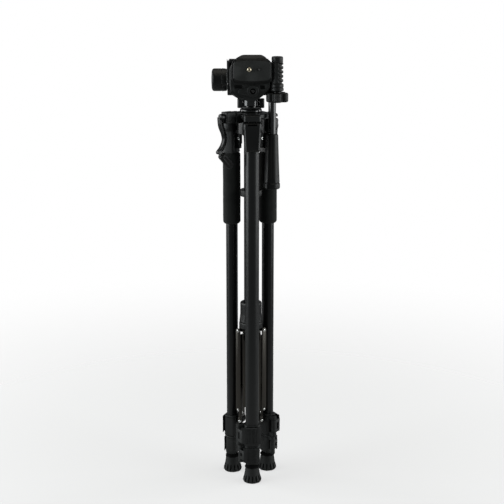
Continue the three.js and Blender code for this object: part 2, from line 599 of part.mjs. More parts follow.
// A rounded rectangle whose long edges bow outwards.
function bowedOutline(left, right, low, high, bow, corner) {
  const [cx, half] = [(left + right) / 2, (right - left) / 2];
  return densify(roundedRectangle(left, right, low + bow, high - bow, corner), 9).map(([x, z]) => {
    const lift = bow * (1 - Math.min(1, Math.abs(x - cx) / half) ** 2);
    return [x, z > (low + high) / 2 ? z + lift : z - lift];
  });
}

function screwHoles(body) {
  const screw = barAlongY(CAMERA_SCREW.radius + CLEARANCE, -60, -30, CAMERA_SCREW.x, CAMERA_SCREW.z);
  const pin = barAlongY(LOCATING_PIN.radius + CLEARANCE, -60, -30, LOCATING_PIN.x, LOCATING_PIN.z, 16);
  return body.subtract(screw).subtract(pin);
}

function quickPlate() {
  const { left, right, low, high, bow, back, front } = PLATE;
  const wide = plateXZ(bowedOutline(left, right, low, high, bow, 7), front + 2.6, back);
  const face = plateXZ(bowedOutline(left + 2.6, right - 1.2, low + 3.2, high - 1.2, bow, 6), front, front + 3);
  const headRoom = barAlongY(CAMERA_SCREW.head + 0.4, -43.4, back + 1, CAMERA_SCREW.x, CAMERA_SCREW.z);
  return screwHoles(wide.add(face).subtract(headRoom));
}

function rubberPad() {
  const { left, right, low, high, bow, back, front } = PAD;
  return screwHoles(plateXZ(bowedOutline(left, right, low, high, bow, 4), front, back));
}

function cameraScrew() {
  const { x, z, radius, head, tip } = CAMERA_SCREW;
  const shank = barAlongY(radius, tip, -42, x, z);
  const flatHead = barAlongY(head, -43, -41.2, x, z);
  const coinSlot = block(x - 8, x + 8, -41.9, -41, z - 0.7, z + 0.7);
  return shank.add(flatHead).subtract(coinSlot);
}

function locatingPin() {
  const { x, z, radius, tip, back } = LOCATING_PIN;
  return barAlongY(radius, tip, back, x, z, 16);
}

function plateLever() {
  const { x, z, boss, front, back } = LEVER;
  const round = barAlongY(boss, front, back, x, z, 32);
  const armOutline = [[3, 646.5], [-12, 646], [-19, 643], [-19.6, 638.4], [-16, 636.6], [3, 634]];
  const arm = plateXZ(armOutline, front + 0.6, back);
  const recess = barAlongY(4.6, front - 1, front + 1.4, x, z);
  const bore = barAlongY(LEVER.pin + CLEARANCE, front - 1, back + 1, x, z, 16);
  return round.add(arm).subtract(recess).subtract(bore);
}

// ---------------------------------------------------------------- assembly
const crankGroup = new THREE.Group();
crankGroup.rotation.z = THREE.MathUtils.degToRad(CRANK_AZIMUTH);
crankGroup.add(
  node('crank_housing', crankHousing(), MATERIALS.casting()),
  node('crank_arm', crankShaft(), MATERIALS.plastic()),
  node('crank_knob', crankKnob(), MATERIALS.plastic()),
);

const roundTube = ({ radius, wall, bottom, top }) => ringTube(radius, radius - wall, bottom, top);

const centreGroup = new THREE.Group();
centreGroup.add(
  node('spider', spider(), MATERIALS.casting()),
  node('centre_sleeve', roundTube(SLEEVE), MATERIALS.tube()),
  node('sleeve_ring', sleeveRing(), MATERIALS.plastic()),
  node('centre_column', roundTube(COLUMN), MATERIALS.tube()),
  node('column_flange', columnFlange(), MATERIALS.gloss()),
  node('brace_hub', hub(), MATERIALS.gloss()),
);

const headGroup = new THREE.Group();
headGroup.add(
  node('pan_lock_ring', lockRing(), MATERIALS.plastic()),
  node('pan_base', panBase(), MATERIALS.gloss()),
  node('tilt_drag_knob', dragKnob(), MATERIALS.plastic()),
  node('tilt_frame', tiltFrame(), MATERIALS.casting()),
  node('side_tilt_bracket', sideBracket(), MATERIALS.casting()),
  node('side_tilt_knob', starKnob(), MATERIALS.plastic()),
  node('pan_handle_rod', handleRod(), MATERIALS.gloss()),
  node('pan_handle_grip', handleGrip(), MATERIALS.plastic()),
  node('camera_platform', platform(), MATERIALS.plastic()),
  node('plate_release_lever', plateLever(), MATERIALS.plastic()),
  node('quick_release_plate', quickPlate(), MATERIALS.plastic()),
  node('plate_rubber_pad', rubberPad(), MATERIALS.rubber()),
  node('camera_screw', cameraScrew(), MATERIALS.steel()),
  node('locating_pin', locatingPin(), MATERIALS.steel()),
);

const tripod = new THREE.Group();
tripod.position.set(CENTRE_SHIFT[0], CENTRE_SHIFT[1], 0);
tripod.add(legGroup('front'), legGroup('right'), legGroup('left'), centreGroup, crankGroup, headGroup);

export default tripod;
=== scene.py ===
import math

import bmesh
import bpy
import numpy as np
from mathutils import Matrix, Vector, noise


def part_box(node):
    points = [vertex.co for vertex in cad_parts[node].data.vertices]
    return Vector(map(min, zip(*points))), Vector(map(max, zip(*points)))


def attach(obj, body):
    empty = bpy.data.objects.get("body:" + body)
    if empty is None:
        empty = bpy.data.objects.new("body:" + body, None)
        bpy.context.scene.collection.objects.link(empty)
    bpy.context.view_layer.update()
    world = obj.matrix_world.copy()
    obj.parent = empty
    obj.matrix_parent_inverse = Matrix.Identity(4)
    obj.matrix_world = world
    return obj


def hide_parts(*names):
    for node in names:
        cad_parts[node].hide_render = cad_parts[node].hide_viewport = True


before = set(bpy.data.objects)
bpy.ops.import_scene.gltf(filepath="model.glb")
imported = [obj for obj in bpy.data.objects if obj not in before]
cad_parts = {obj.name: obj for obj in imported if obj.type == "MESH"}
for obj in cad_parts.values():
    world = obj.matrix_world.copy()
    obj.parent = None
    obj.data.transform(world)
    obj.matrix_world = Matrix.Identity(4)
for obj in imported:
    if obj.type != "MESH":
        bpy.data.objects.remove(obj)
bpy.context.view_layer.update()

MM = 0.001

# The column's axis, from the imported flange; every shape below is in millimetres about it.
_low, _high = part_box("column_flange")
AXIS = ((_low.x + _high.x) / 2, (_low.y + _high.y) / 2)

AZIMUTHS = {"front": 3.5, "right": 125.5, "left": -114.5}
CRANK_AZIMUTH = -54.5
TUBE_Y = -33.5
STRUT_Y = -16.5
CRANK_Z = 600
TILT_Z = 654
HANDLE = (33, -12)


# ---------------------------------------------------------------- shapes in millimetres
class Shape:
    """Vertices and faces of one or more closed skins."""

    def __init__(self, verts, faces):
        self.verts = np.array(verts, float).reshape(-1, 3)
        self.faces = [tuple(f) for f in faces]

    def __add__(self, other):
        n = len(self.verts)
        faces = self.faces + [tuple(i + n for i in f) for f in other.faces]
        return Shape(np.vstack([self.verts, other.verts]), faces)

    def moved(self, x=0, y=0, z=0):
        return Shape(self.verts + np.array([x, y, z]), self.faces)

    def turned(self, axis, degrees):
        rotation = np.array(Matrix.Rotation(math.radians(degrees), 3, Vector(axis)))
        return Shape(self.verts @ rotation.T, self.faces)


NOTHING = Shape([], [])


def loft(rings, loop=False):
    count = len(rings[0])
    faces = []
    for k in range(len(rings) if loop else len(rings) - 1):
        a = k * count
        b = ((k + 1) % len(rings)) * count
        for i in range(count):
            j = (i + 1) % count
            faces.append((a + i, a + j, b + j, b + i))
    if not loop:
        last = (len(rings) - 1) * count
        faces.append(tuple(reversed(range(count))))
        faces.append(tuple(last + i for i in range(count)))
    return Shape([p for ring in rings for p in ring], faces)


def lathe(profile, steps=64, x=0, y=0, radius=None, loop=False):
    """A turned skin about the upright line through (x, y). radius(angle, r, z) may reshape it."""
    rings = []
    for r, z in profile:
        ring = []
        for i in range(steps):
            a = 2 * math.pi * i / steps
            rr = radius(a, r, z) if radius else r
            ring.append((x + rr * math.cos(a), y + rr * math.sin(a), z))
        rings.append(ring)
    return loft(rings, loop)


def along_x(shape):
    """Lays a skin turned about Z so that its height runs along +X."""
    return shape.turned((0, 1, 0), 90)


def along_y(shape):
    """Lays a skin turned about Z so that its height runs along -Y."""
    return shape.turned((1, 0, 0), 90)


def fine(profile, step):
    """The profile with points added, so that none are further than step apart."""
    out = [profile[0]]
    for (r0, z0), (r1, z1) in zip(profile, profile[1:]):
        n = max(1, math.ceil(math.hypot(r1 - r0, z1 - z0) / step))
        out += [(r0 + (r1 - r0) * k / n, z0 + (z1 - z0) * k / n) for k in range(1, n + 1)]
    return out


def rounded(profile, radius=0.6, steps=4):
    """The profile with its inner corners rounded."""
    out = [profile[0]]
    for (ax, ay), (bx, by), (cx, cy) in zip(profile, profile[1:], profile[2:]):
        ab, bc = math.hypot(bx - ax, by - ay), math.hypot(cx - bx, cy - by)
        cut = min(radius, ab / 2.2, bc / 2.2)
        if cut < 1e-3:
            out.append((bx, by))
            continue
        p = (bx + (ax - bx) * cut / ab, by + (ay - by) * cut / ab)
        q = (bx + (cx - bx) * cut / bc, by + (cy - by) * cut / bc)
        for k in range(steps + 1):
            t = k / steps
            u, v, w = (1 - t) ** 2, 2 * t * (1 - t), t * t
            out.append((u * p[0] + v * bx + w * q[0], u * p[1] + v * by + w * q[1]))
    out.append(profile[-1])
    return out


def area(outline):
    return sum(a[0] * b[1] - b[0] * a[1] for a, b in zip(outline, outline[1:] + outline[:1])) / 2


def inset(outline, d):
    """The outline, which runs anticlockwise, moved inwards by d."""
    n = len(outline)
    out = []
    for i, (x, y) in enumerate(outline):
        px, py = outline[i - 1]
        qx, qy = outline[(i + 1) % n]
        ax, ay, bx, by = x - px, y - py, qx - x, qy - y
        la, lb = math.hypot(ax, ay) or 1, math.hypot(bx, by) or 1
        nx, ny = -(ay / la + by / lb), ax / la + bx / lb
        length = math.hypot(nx, ny) or 1
        scale = min(2.0, 2 / length)
        out.append((x + nx / length * d * scale, y + ny / length * d * scale))
    return out


def slab(outline, z0, z1, edge=0.8, steps=3):
    """An outline in X and Y made solid between two heights, with rounded edges."""
    if area(outline) < 0:
        outline = outline[::-1]
    levels = []
    for k in range(steps + 1):
        a = math.pi / 2 * k / steps
        levels.append((edge * (1 - math.sin(a)), z0 + edge * (1 - math.cos(a))))
    for k in range(steps + 1):
        a = math.pi / 2 * k / steps
        levels.append((edge * (1 - math.cos(a)), z1 - edge * (1 - math.sin(a))))
    return loft([[(x, y, z) for x, y in inset(outline, d)] for d, z in levels])


def slab_y(outline, y0, y1, edge=0.8, steps=3):
    """An outline in X and Z made solid from y0, the front, to y1, with rounded edges."""
    return slab(outline, -y1, -y0, edge, steps).turned((1, 0, 0), 90)


def slab_x(outline, x0, x1, edge=0.5, steps=2):
    """An outline in Y and Z made solid from x0 to x1."""
    return slab(outline, x0, x1, edge, steps).turned((0, 0, 1), 90).turned((0, 1, 0), 90)


def rounded_rectangle(x0, x1, y0, y1, radius, per_corner=6):
    out = []
    for quarter, (x, y) in enumerate([(x1, y1), (x0, y1), (x0, y0), (x1, y0)]):
        cx = x - radius if x == x1 else x + radius
        cy = y - radius if y == y1 else y + radius
        for k in range(per_corner + 1):
            a = (quarter + k / per_corner) * math.pi / 2
            out.append((cx + radius * math.cos(a), cy + radius * math.sin(a)))
    return out


def block(x0, x1, y0, y1, z0, z1, corner=1.2, edge=0.6):
    corner = min(corner, (x1 - x0) / 2.05, (y1 - y0) / 2.05)
    edge = min(edge, (z1 - z0) / 2.2, (x1 - x0) / 2.2, (y1 - y0) / 2.2)
    return slab(rounded_rectangle(x0, x1, y0, y1, corner, 4), z0, z1, edge)


def oval(width, depth, x=0, y=0, count=72):
    angles = [2 * math.pi * i / count for i in range(count)]
    return [(x + width / 2 * math.cos(a), y + depth / 2 * math.sin(a)) for a in angles]


def ball(radius, x, y, z, steps=10):
    turns = [math.pi * k / steps for k in range(steps + 1)]
    profile = [(radius * math.sin(a), -radius * math.cos(a)) for a in turns]
    profile[0], profile[-1] = (radius * 0.04, -radius), (radius * 0.04, radius)
    return lathe(profile, 14).moved(x, y, z)


def smooth_line(points, steps):
    """A Catmull-Rom line through the points."""
    pts = [points[0]] + list(points) + [points[-1]]
    out = []
    for k in range(len(points) - 1):
        p0, p1, p2, p3 = (np.array(p, float) for p in pts[k:k + 4])
        for i in range(steps):
            t = i / steps
            out.append(0.5 * (2 * p1 + (p2 - p0) * t + (2 * p0 - 5 * p1 + 4 * p2 - p3) * t * t
                              + (3 * p1 - p0 - 3 * p2 + p3) * t ** 3))
    out.append(np.array(points[-1], float))
    return out


def ribbon(line, low, high):
    """Closed outline between two offsets, low and high, beside a line of points."""
    n = len(line)
    sides = [[], []]
    for i, p in enumerate(line):
        d = line[min(i + 1, n - 1)] - line[max(i - 1, 0)]
        d = d / np.linalg.norm(d)
        normal = np.array([-d[1], d[0]])
        for side, off in zip(sides, (low, high)):
            side.append(tuple(p + normal * (off[i] if hasattr(off, "__len__") else off)))
    return sides[0] + sides[1][::-1]


def cut(shape, *tools):
    """The shape with the tools' volumes taken away."""
    target = raw_object("cut_target", shape)
    for tool in tools:
        other = raw_object("cut_tool", tool)
        modifier = target.modifiers.new("cut", "BOOLEAN")
        modifier.operation, modifier.solver, modifier.use_self = "DIFFERENCE", "EXACT", True
        modifier.object = other
        mesh = bpy.data.meshes.new_from_object(target.evaluated_get(bpy.context.evaluated_depsgraph_get()))
        target.modifiers.clear()
        target.data = mesh
        bpy.data.objects.remove(other)
    out = Shape([v.co[:] for v in target.data.vertices], [p.vertices[:] for p in target.data.polygons])
    bpy.data.objects.remove(target)
    return out


def raw_object(name, shape):
    mesh = bpy.data.meshes.new(name)
    mesh.from_pydata(shape.verts.tolist(), [], shape.faces)
    obj = bpy.data.objects.new(name, mesh)
    bpy.context.scene.collection.objects.link(obj)
    return obj


# ---------------------------------------------------------------- materials
def nodes_of(name):
    material = bpy.data.materials.new(name)
    material.use_nodes = True
    tree = material.node_tree
    return material, tree, tree.nodes["Principled BSDF"]


def finish(name, dark, light, roughness, metallic=0.0, specular=0.3, grain=2600, bump=0.12,
           stretch=(1, 1, 1), mottle=26, spread=0.08, coat=0.0, coat_roughness=0.1, worn=0.0, sheen=0.0,
           distance=0.00012):
    """A moulded or coated surface: mottled colour, fine grain, uneven gloss and lighter worn edges."""
    material, tree, shader = nodes_of(name)
    new, link = tree.nodes.new, tree.links.new
    place = new("ShaderNodeTexCoord")
    scale = new("ShaderNodeMapping")
    scale.inputs["Scale"].default_value = stretch
    link(place.outputs["Object"], scale.inputs["Vector"])
    broad = new("ShaderNodeTexNoise")
    broad.inputs["Scale"].default_value = mottle
    broad.inputs["Detail"].default_value = 4
    link(scale.outputs["Vector"], broad.inputs["Vector"])
    small = new("ShaderNodeTexNoise")
    small.inputs["Scale"].default_value = grain
    small.inputs["Detail"].default_value = 2
    link(scale.outputs["Vector"], small.inputs["Vector"])
    colour = new("ShaderNodeValToRGB")
    colour.color_ramp.elements[0].position, colour.color_ramp.elements[1].position = 0.35, 0.68
    colour.color_ramp.elements[0].color = (*dark, 1)
    colour.color_ramp.elements[1].color = (*light, 1)
    link(broad.outputs["Fac"], colour.inputs["Fac"])
    result = colour.outputs["Color"]
    if worn:
        edges = new("ShaderNodeNewGeometry")
        ramp = new("ShaderNodeValToRGB")
        ramp.color_ramp.elements[0].position, ramp.color_ramp.elements[1].position = 0.53, 0.64
        link(edges.outputs["Pointiness"], ramp.inputs["Fac"])
        level = new("ShaderNodeMath")
        level.operation = "MULTIPLY"
        level.inputs[1].default_value = worn
        link(ramp.outputs["Color"], level.inputs[0])
        mix = new("ShaderNodeMixRGB")
        mix.inputs["Color2"].default_value = (*[min(1, c * 2.2 + 0.01) for c in light], 1)
        link(level.outputs["Value"], mix.inputs["Fac"])
        link(result, mix.inputs["Color1"])
        result = mix.outputs["Color"]
    link(result, shader.inputs["Base Color"])
    gloss = new("ShaderNodeMapRange")
    gloss.inputs["From Min"].default_value, gloss.inputs["From Max"].default_value = 0.3, 0.7
    gloss.inputs["To Min"].default_value = max(0.03, roughness - spread)
    gloss.inputs["To Max"].default_value = min(1.0, roughness + spread)
    link(broad.outputs["Fac"], gloss.inputs["Value"])
    link(gloss.outputs["Result"], shader.inputs["Roughness"])
    relief = new("ShaderNodeBump")
    relief.inputs["Strength"].default_value = bump
    relief.inputs["Distance"].default_value = distance
    link(small.outputs["Fac"], relief.inputs["Height"])
    link(relief.outputs["Normal"], shader.inputs["Normal"])
    shader.inputs["Metallic"].default_value = metallic
    shader.inputs["Specular IOR Level"].default_value = specular
    shader.inputs["Coat Weight"].default_value = coat
    shader.inputs["Coat Roughness"].default_value = coat_roughness
    if sheen:
        shader.inputs["Sheen Weight"].default_value = sheen
        shader.inputs["Sheen Roughness"].default_value = 0.6
    return material


MATERIALS = {
    "casting": finish("casting", (0.0045, 0.0048, 0.0048), (0.009, 0.0095, 0.0093), 0.42, specular=0.42,
                      grain=1900, bump=0.35, worn=0.5),
    "tube": finish("tube", (0.0046, 0.0052, 0.0052), (0.0088, 0.0094, 0.0094), 0.3, specular=0.4,
                   grain=900, bump=0.06, stretch=(1, 1, 0.02), mottle=18, spread=0.05, coat=0.15,
                   coat_roughness=0.2),
    "foam": finish("foam", (0.0085, 0.0094, 0.0089), (0.0145, 0.0158, 0.0146), 0.94, specular=0.12,
                   grain=1300, bump=0.9, mottle=60, sheen=0.12, distance=0.0003),
    "plastic": finish("plastic", (0.0105, 0.0112, 0.0110), (0.0190, 0.0200, 0.0195), 0.5,
                      specular=0.34, grain=2300, bump=0.4, worn=0.5),
    "gloss": finish("gloss", (0.003, 0.0034, 0.0034), (0.006, 0.0065, 0.0065), 0.16, specular=0.8,
                    grain=500, bump=0.03, mottle=14, spread=0.04, coat=0.6, coat_roughness=0.08),
    "satin": finish("satin", (0.0042, 0.0046, 0.0046), (0.0085, 0.0092, 0.009), 0.33, specular=0.45,
                    grain=1500, bump=0.12, mottle=20, worn=0.25),
    "moulding": finish("moulding", (0.0050, 0.0052, 0.0050), (0.0092, 0.0096, 0.0092), 0.34,
                       specular=0.36, grain=1900, bump=0.12, mottle=30, spread=0.06),
    "rubber": finish("rubber", (0.012, 0.0130, 0.0125), (0.0205, 0.0217, 0.0210), 0.62,
                     specular=0.3, grain=1700, bump=0.45, mottle=40, worn=0.3),
    # pad: the same rubber as the feet, made lighter as painted light, to brighten the camera-facing pad that
    # gets little direct light.
    "pad": finish("pad", (0.022, 0.0230, 0.0220), (0.036, 0.0375, 0.0362), 0.6, specular=0.3,
                  grain=1500, bump=0.5, mottle=45, worn=0.3),
    "strut": finish("strut", (0.050, 0.046, 0.040), (0.095, 0.087, 0.075), 0.34, metallic=0.75,
                    specular=0.5, grain=1100, bump=0.1, stretch=(1, 1, 0.06), mottle=22),
    "steel": finish("steel", (0.55, 0.47, 0.34), (0.80, 0.72, 0.56), 0.24, metallic=1.0,
                    specular=0.5, grain=2600, bump=0.05, mottle=180),
    "rivet": finish("rivet", (0.62, 0.62, 0.60), (0.86, 0.86, 0.84), 0.2, metallic=1.0,
                    specular=0.5, grain=2200, bump=0.05, mottle=220),
    "pin": finish("pin", (0.05, 0.05, 0.05), (0.10, 0.10, 0.098), 0.28, metallic=0.9, specular=0.5,
                  grain=2400, bump=0.05, mottle=160),
    "shadow": finish("shadow", (0.0012, 0.0012, 0.0012), (0.0025, 0.0025, 0.0025), 0.85,
                     specular=0.1, grain=1500, bump=0.3),
}


# ---------------------------------------------------------------- pieces
SHARP_EDGE = 34  # degrees; a sharper corner is shaded as an edge


def piece(name, shape, material, body, *replaced, turn=0, soften=0.0):
    """Makes one visible piece, turned about the column's axis, and hangs it on its body."""
    shape = shape.turned((0, 0, 1), turn) if turn else shape
    mesh = bpy.data.meshes.new(name)
    verts = shape.verts * MM + np.array([AXIS[0], AXIS[1], 0])
    mesh.from_pydata(verts.tolist(), [], shape.faces)
    work = bmesh.new()
    work.from_mesh(mesh)
    bmesh.ops.recalc_face_normals(work, faces=work.faces)
    limit = math.radians(SHARP_EDGE)
    for face in work.faces:
        face.smooth = True
    for edge in work.edges:
        edge.smooth = len(edge.link_faces) == 2 and edge.calc_face_angle(0) < limit
    work.to_mesh(mesh)
    work.free()
    obj = bpy.data.objects.new(name, mesh)
    bpy.context.scene.collection.objects.link(obj)
    obj.data.materials.append(MATERIALS[material])
    if soften:
        bevel = obj.modifiers.new("soft_edges", "BEVEL")
        bevel.width, bevel.segments = soften * MM, 2
        bevel.limit_method, bevel.angle_limit = "ANGLE", math.radians(40)
    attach(obj, body)
    if replaced:
        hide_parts(*replaced)
    return obj


def rivet(x, y, z, radius=2.6, height=1.0, axis="x", sign=1):
    """A domed rivet head on a face at the point."""
    dome = [(radius, 0), (radius, height * 0.35), (radius * 0.86, height * 0.72),
            (radius * 0.5, height * 0.95), (radius * 0.12, height)]
    shape = lathe(dome, 20)
    if axis == "x":
        shape = shape.turned((0, 1, 0), 90 * sign)
    if axis == "y":
        shape = shape.turned((1, 0, 0), 90 * sign)
    return shape.moved(x, y, z)


# ---------------------------------------------------------------- legs, built facing -Y
def leg_tube(width, depth, z0, z1, wall):
    outer = [oval(width - e, depth - e, 0, TUBE_Y) for e in (0.5, 0, 0, 0.5)]
    inner = oval(width - 2 * wall, depth - 2 * wall, 0, TUBE_Y)
    levels = [(outer[0], z0), (outer[1], z0 + 0.3), (outer[2], z1 - 0.3), (outer[3], z1), (inner, z1),
              (inner, z0)]
    return loft([[(x, y, z) for x, y in points] for points, z in levels], loop=True)


def leg_casting(bottom):
    levels = []
    for t in np.linspace(0, 1, 9):
        z = 548 + t * (589.6 - 548)
        levels.append((12.1 + 2.1 * t ** 1.15, 23.2 + 1.3 * t, 43.7 + 1.3 * t, z))
    lip = [(11.6, 23.7, 43.2, bottom), (12.5, 22.9, 44.1, bottom + 0.4), (12.5, 22.9, 44.1, bottom + 1.6),
           (12.1, 23.2, 43.7, bottom + 2.1)]
    top = [(14.0, 24.7, 44.6, 590.6), (13.6, 25.0, 43.9, 591.6), (12.8, 25.6, 42.8, 592.3)]
    rings = []
    for half, near, far, z in lip + levels[1:] + top:
        ring = []
        for x, y in rounded_rectangle(-half, half, -far, -near, 4.6, 8):
            ring.append((x, y - (0.7 * (1 - (x / half) ** 2) if y < -far + 1 else 0), z))
        rings.append(ring)
    body = loft(rings)
    for sign in (-1, 1):
        boss = [(9.0, 0), (8.6, 0.9), (7.2, 1.7), (5.0, 2.2), (2.4, 2.45), (0.4, 2.5)]
        body = body + lathe(boss, 40).turned((0, 1, 0), 90 * sign).moved(sign * 13.4, -34.5, 581)
    slot = block(-6.5, 6.5, -41.8, -10, 574, 600, 1, 0.5)
    window = block(-7.2, 7.2, -50, -38, 588.2, 591.0, 0.4, 0.3)
    return cut(body, slot, window)


def casting_tab():
    tab = block(-3.6, 3.6, -24.2, -16.2, 552.5, 569, 1.2, 0.8)
    tail = block(-2.8, 2.8, -24.2, -17.2, 545.5, 553, 0.8, 0.6)
    return tab + tail


def foam_sleeve():
    count, rows = 96, 58
    rings = []
    for k in range(rows + 1):
        t = k / rows
        z = 424 + 114 * t
        end = min(t, 1 - t) * 114
        pull = 1.9 * max(0, 1 - end / 3.2) ** 2
        ring = []
        for i in range(count):
            a = 2 * math.pi * i / count
            p = Vector((math.cos(a) * 3, math.sin(a) * 3, z * 0.12))
            lump = 0.16 * noise.noise(p) + 0.07 * noise.noise(p * 6.5)
            ring.append(((15 - pull + lump) * math.cos(a), TUBE_Y + (13.75 - pull + lump) * math.sin(a), z))
        rings.append(ring)
    hole = [[(x, y, z) for x, y in oval(22.2, 18.4, 0, TUBE_Y, count)] for z in (538, 424)]
    return loft(rings + hole, loop=True)


def lock_collar(lock):
    half, near, far, z0, z1 = lock["half"], lock["near"], lock["far"], lock["z0"], lock["z1"]
    outline = rounded_rectangle(-half, half, -far, -near, 6.5, 8)
    levels = [(1.0, z0), (0.3, z0 + 0.4), (0, z0 + 1.1), (0, z1 - 4.4), (0.25, z1 - 4.1), (1.0, z1 - 3.8),
              (1.0, z1 - 3.2), (0.25, z1 - 2.9), (0.1, z1 - 2.6), (0.1, z1 - 1.1), (0.5, z1 - 0.35),
              (1.3, z1)]
    body = loft([[(x, y, z) for x, y in inset(outline, d)] for d, z in levels])
    hole = oval(*lock["bore"], 0, TUBE_Y, 48)
    bore = loft([[(x, y, z) for x, y in hole] for z in (z0 - 1, z1 + 1)])
    body = cut(body, bore)
    bx, by, low, high = lock["bx"], -lock["br"], z0 + 7, z1 - 7
    for a, b in ((z0, low - 0.35), (high + 0.35, z1)):
        body = body + block(bx, -half + 1.6, by - 3.9, by + 3.9, a, b, 0.5, 0.5)
        knuckle = [(lock["barrel"] - 0.5, a), (lock["barrel"], a + 0.5), (lock["barrel"], b - 0.5),
                   (lock["barrel"] - 0.5, b)]
        body = body + lathe(knuckle, 32, bx, by)
    return body


def lock_lever(lock):
    """The flip lever: knuckle, side arm and a bowed front plate with vertical grip ribs."""
    near = lock["far"] + 0.5
    outer, left, right = lock["lever"], lock["left"], lock["right"]
    bx, by = lock["bx"], -lock["br"]
    low, high = lock["z0"] + 7.2, lock["z1"] - 7.2
    arm_outline = [(bx - 3.9, by), (bx + 3.6, by), (left + 2.6, -near), (left + 3.4, -outer + 1.4),
                   (left + 0.6, -outer + 1.2), (left - 1.2, -near + 0.4)]
    arm = slab(arm_outline, low, high, 0.5, 2)
    slot = block(bx - 3, bx + 5.2, by - 9.8, by - 4.6, low + 5, high - 5, 0.6, 0.4)
    arm = cut(arm, slot)
    barrel = lock["barrel"]
    knuckle = lathe([(barrel - 0.4, low), (barrel, low + 0.4), (barrel, high - 0.4), (barrel - 0.4, high)],
                    32, bx, by)
    count = 96
    front = []
    for i in range(count + 1):
        t = i / count
        x = left + (right - left) * t
        bow = 1 - abs(2 * t - 1) ** (2.2 if t < 0.5 else 3.4)
        y = -near - (outer - near) * bow - 0.2
        if 0.22 < t < 0.78:
            y += 0.75 * (0.5 - 0.5 * math.cos((t - 0.22) / 0.56 * 8 * 2 * math.pi)) ** 3
        front.append((x, y))
    outline = front + [(right - 0.4, -near), (left + 0.4, -near)]
    plate = slab(outline, lock["low"], lock["high"], 1.1, 4)
    return arm + knuckle + plate


UPPER = {"half": 13, "near": 23, "far": 44.2, "z0": 63.5, "z1": 99.5, "bx": -21.3, "br": 31.5, "barrel": 4.2,
         "bore": (20, 16.4), "left": -18.4, "right": 14, "lever": 47.3, "low": 69, "high": 97}
LOWER = {"half": 12.4, "near": 23.8, "far": 42.6, "z0": 33, "z1": 62.8, "bx": -18.3, "br": 31, "barrel": 4.1,
         "bore": (17.2, 13.4), "left": -14.8, "right": 11.6, "lever": 45.1, "low": 36, "high": 60.4}


def leg_foot():
    """A flared rubber foot with upright notches round its rim."""
    profile = rounded([(9.0, 0.5), (12.6, 0), (14.6, 1.0), (15.2, 3.4), (14.4, 6.4), (12.9, 11.6),
                       (11.7, 19), (11.0, 25.0), (10.2, 25.8)], 1.2, 4)
    profile = fine(profile, 0.9)
    notches = 14

    def radius(a, r, z):
        phase = (a * notches / (2 * math.pi)) % 1
        mouth = max(0, 1 - abs(phase - 0.5) / 0.2)
        depth = 3.4 * (1 - abs(z - 7.0) / 5.2) ** 0.5 if abs(z - 7.0) < 5.2 else 0
        return r - depth * min(1, mouth * 1.8)

    body = lathe(profile, 168, 0, TUBE_Y, radius)
    sole_ring = lathe([(13.4, 0.02), (13.6, 0.0), (11.2, 0.0), (11.0, 0.02)], 64, 0, TUBE_Y)
    return body + sole_ring


def foot_cuff_painted_shade():
    """The scalloped cuff between the foot and the lower lock, coloured near-black with the shadow material:
    painted shade.
    """
    def radius(a, r, z):
        wave = 0.5 + 0.5 * math.cos(8 * a)
        return r + (0.9 * wave if z < 26.6 else 0)

    profile = [(10.4, 24.9), (11.3, 25.3), (11.5, 26.6), (11.0, 28.2), (9.6, 29.3), (8.6, 29.4)]
    return lathe(fine(profile, 0.6), 96, 0, TUBE_Y, radius)


def strut_channel():
    count = 16
    turns = [math.pi * k / count for k in range(count + 1)]
    top = [(STRUT_Y + 4.2 * math.cos(a), 248.5 + 4.2 * math.sin(a)) for a in turns]
    low = [(STRUT_Y - 4.2 * math.cos(a), 114.2 - 3.2 * math.sin(a)) for a in turns]
    outline = low + top
    shape = slab_x(outline, -14.2, -12.9, 0.3, 2) + slab_x(outline, 12.9, 14.2, 0.3, 2)
    web = block(-14.1, 14.1, -20.7, -19.6, 123, 237, 0.5, 0.5)
    groove = block(-1.2, 1.2, -21.1, -20.5, 128, 232, 0.3, 0.3)
    return shape + web + groove


def strut_link():
    bar = block(-8.5, 8.5, -18.5, -14.5, 97, 150, 0.6, 0.6)
    count = 14
    ends = NOTHING
    for x0, x1 in ((-8.5, -4.6), (4.6, 8.5)):
        outline = [(STRUT_Y + 3.8 * math.cos(a), 91 + 3.8 * math.sin(a))
                   for a in [math.pi + math.pi * k / count for k in range(count + 1)]]
        outline += [(-14.5, 98), (-18.5, 98)]
        ends = ends + slab_x(outline, x0, x1, 0.3, 2)
    return bar + ends


def strut_lug():
    lug = block(-4, 4, -24, STRUT_Y, 86.5, 95.5, 0.8, 0.6)
    nose = along_x(lathe([(4.0, -4), (4.5, -3.6), (4.5, 3.6), (4.0, 4)], 32)).moved(0, STRUT_Y, 91)
    return lug + nose


CASTINGS = {"front": leg_casting(547.9), "right": leg_casting(538.3)}
CASTINGS["left"] = CASTINGS["right"]
COLLAR_UP, COLLAR_LOW = lock_collar(UPPER), lock_collar(LOWER)
SKIRT_OUT = rounded_rectangle(-12.4, 12.4, -42.6, -23.8, 6.5, 8)
SKIRT_IN = rounded_rectangle(-9.6, 9.6, -40.6, -26.4, 5, 8)
SKIRT_LEVELS = ((SKIRT_IN, 29.8), (SKIRT_OUT, 33.6), (SKIRT_OUT, 34.6))
SKIRT = loft([[(x, y, z) for x, y in ring] for ring, z in SKIRT_LEVELS])
LEVER_UP, LEVER_LOW, FOOT, CUFF = lock_lever(UPPER), lock_lever(LOWER), leg_foot(), foot_cuff_painted_shade()
CHANNEL, LINK, FOAM = strut_channel(), strut_link(), foam_sleeve()

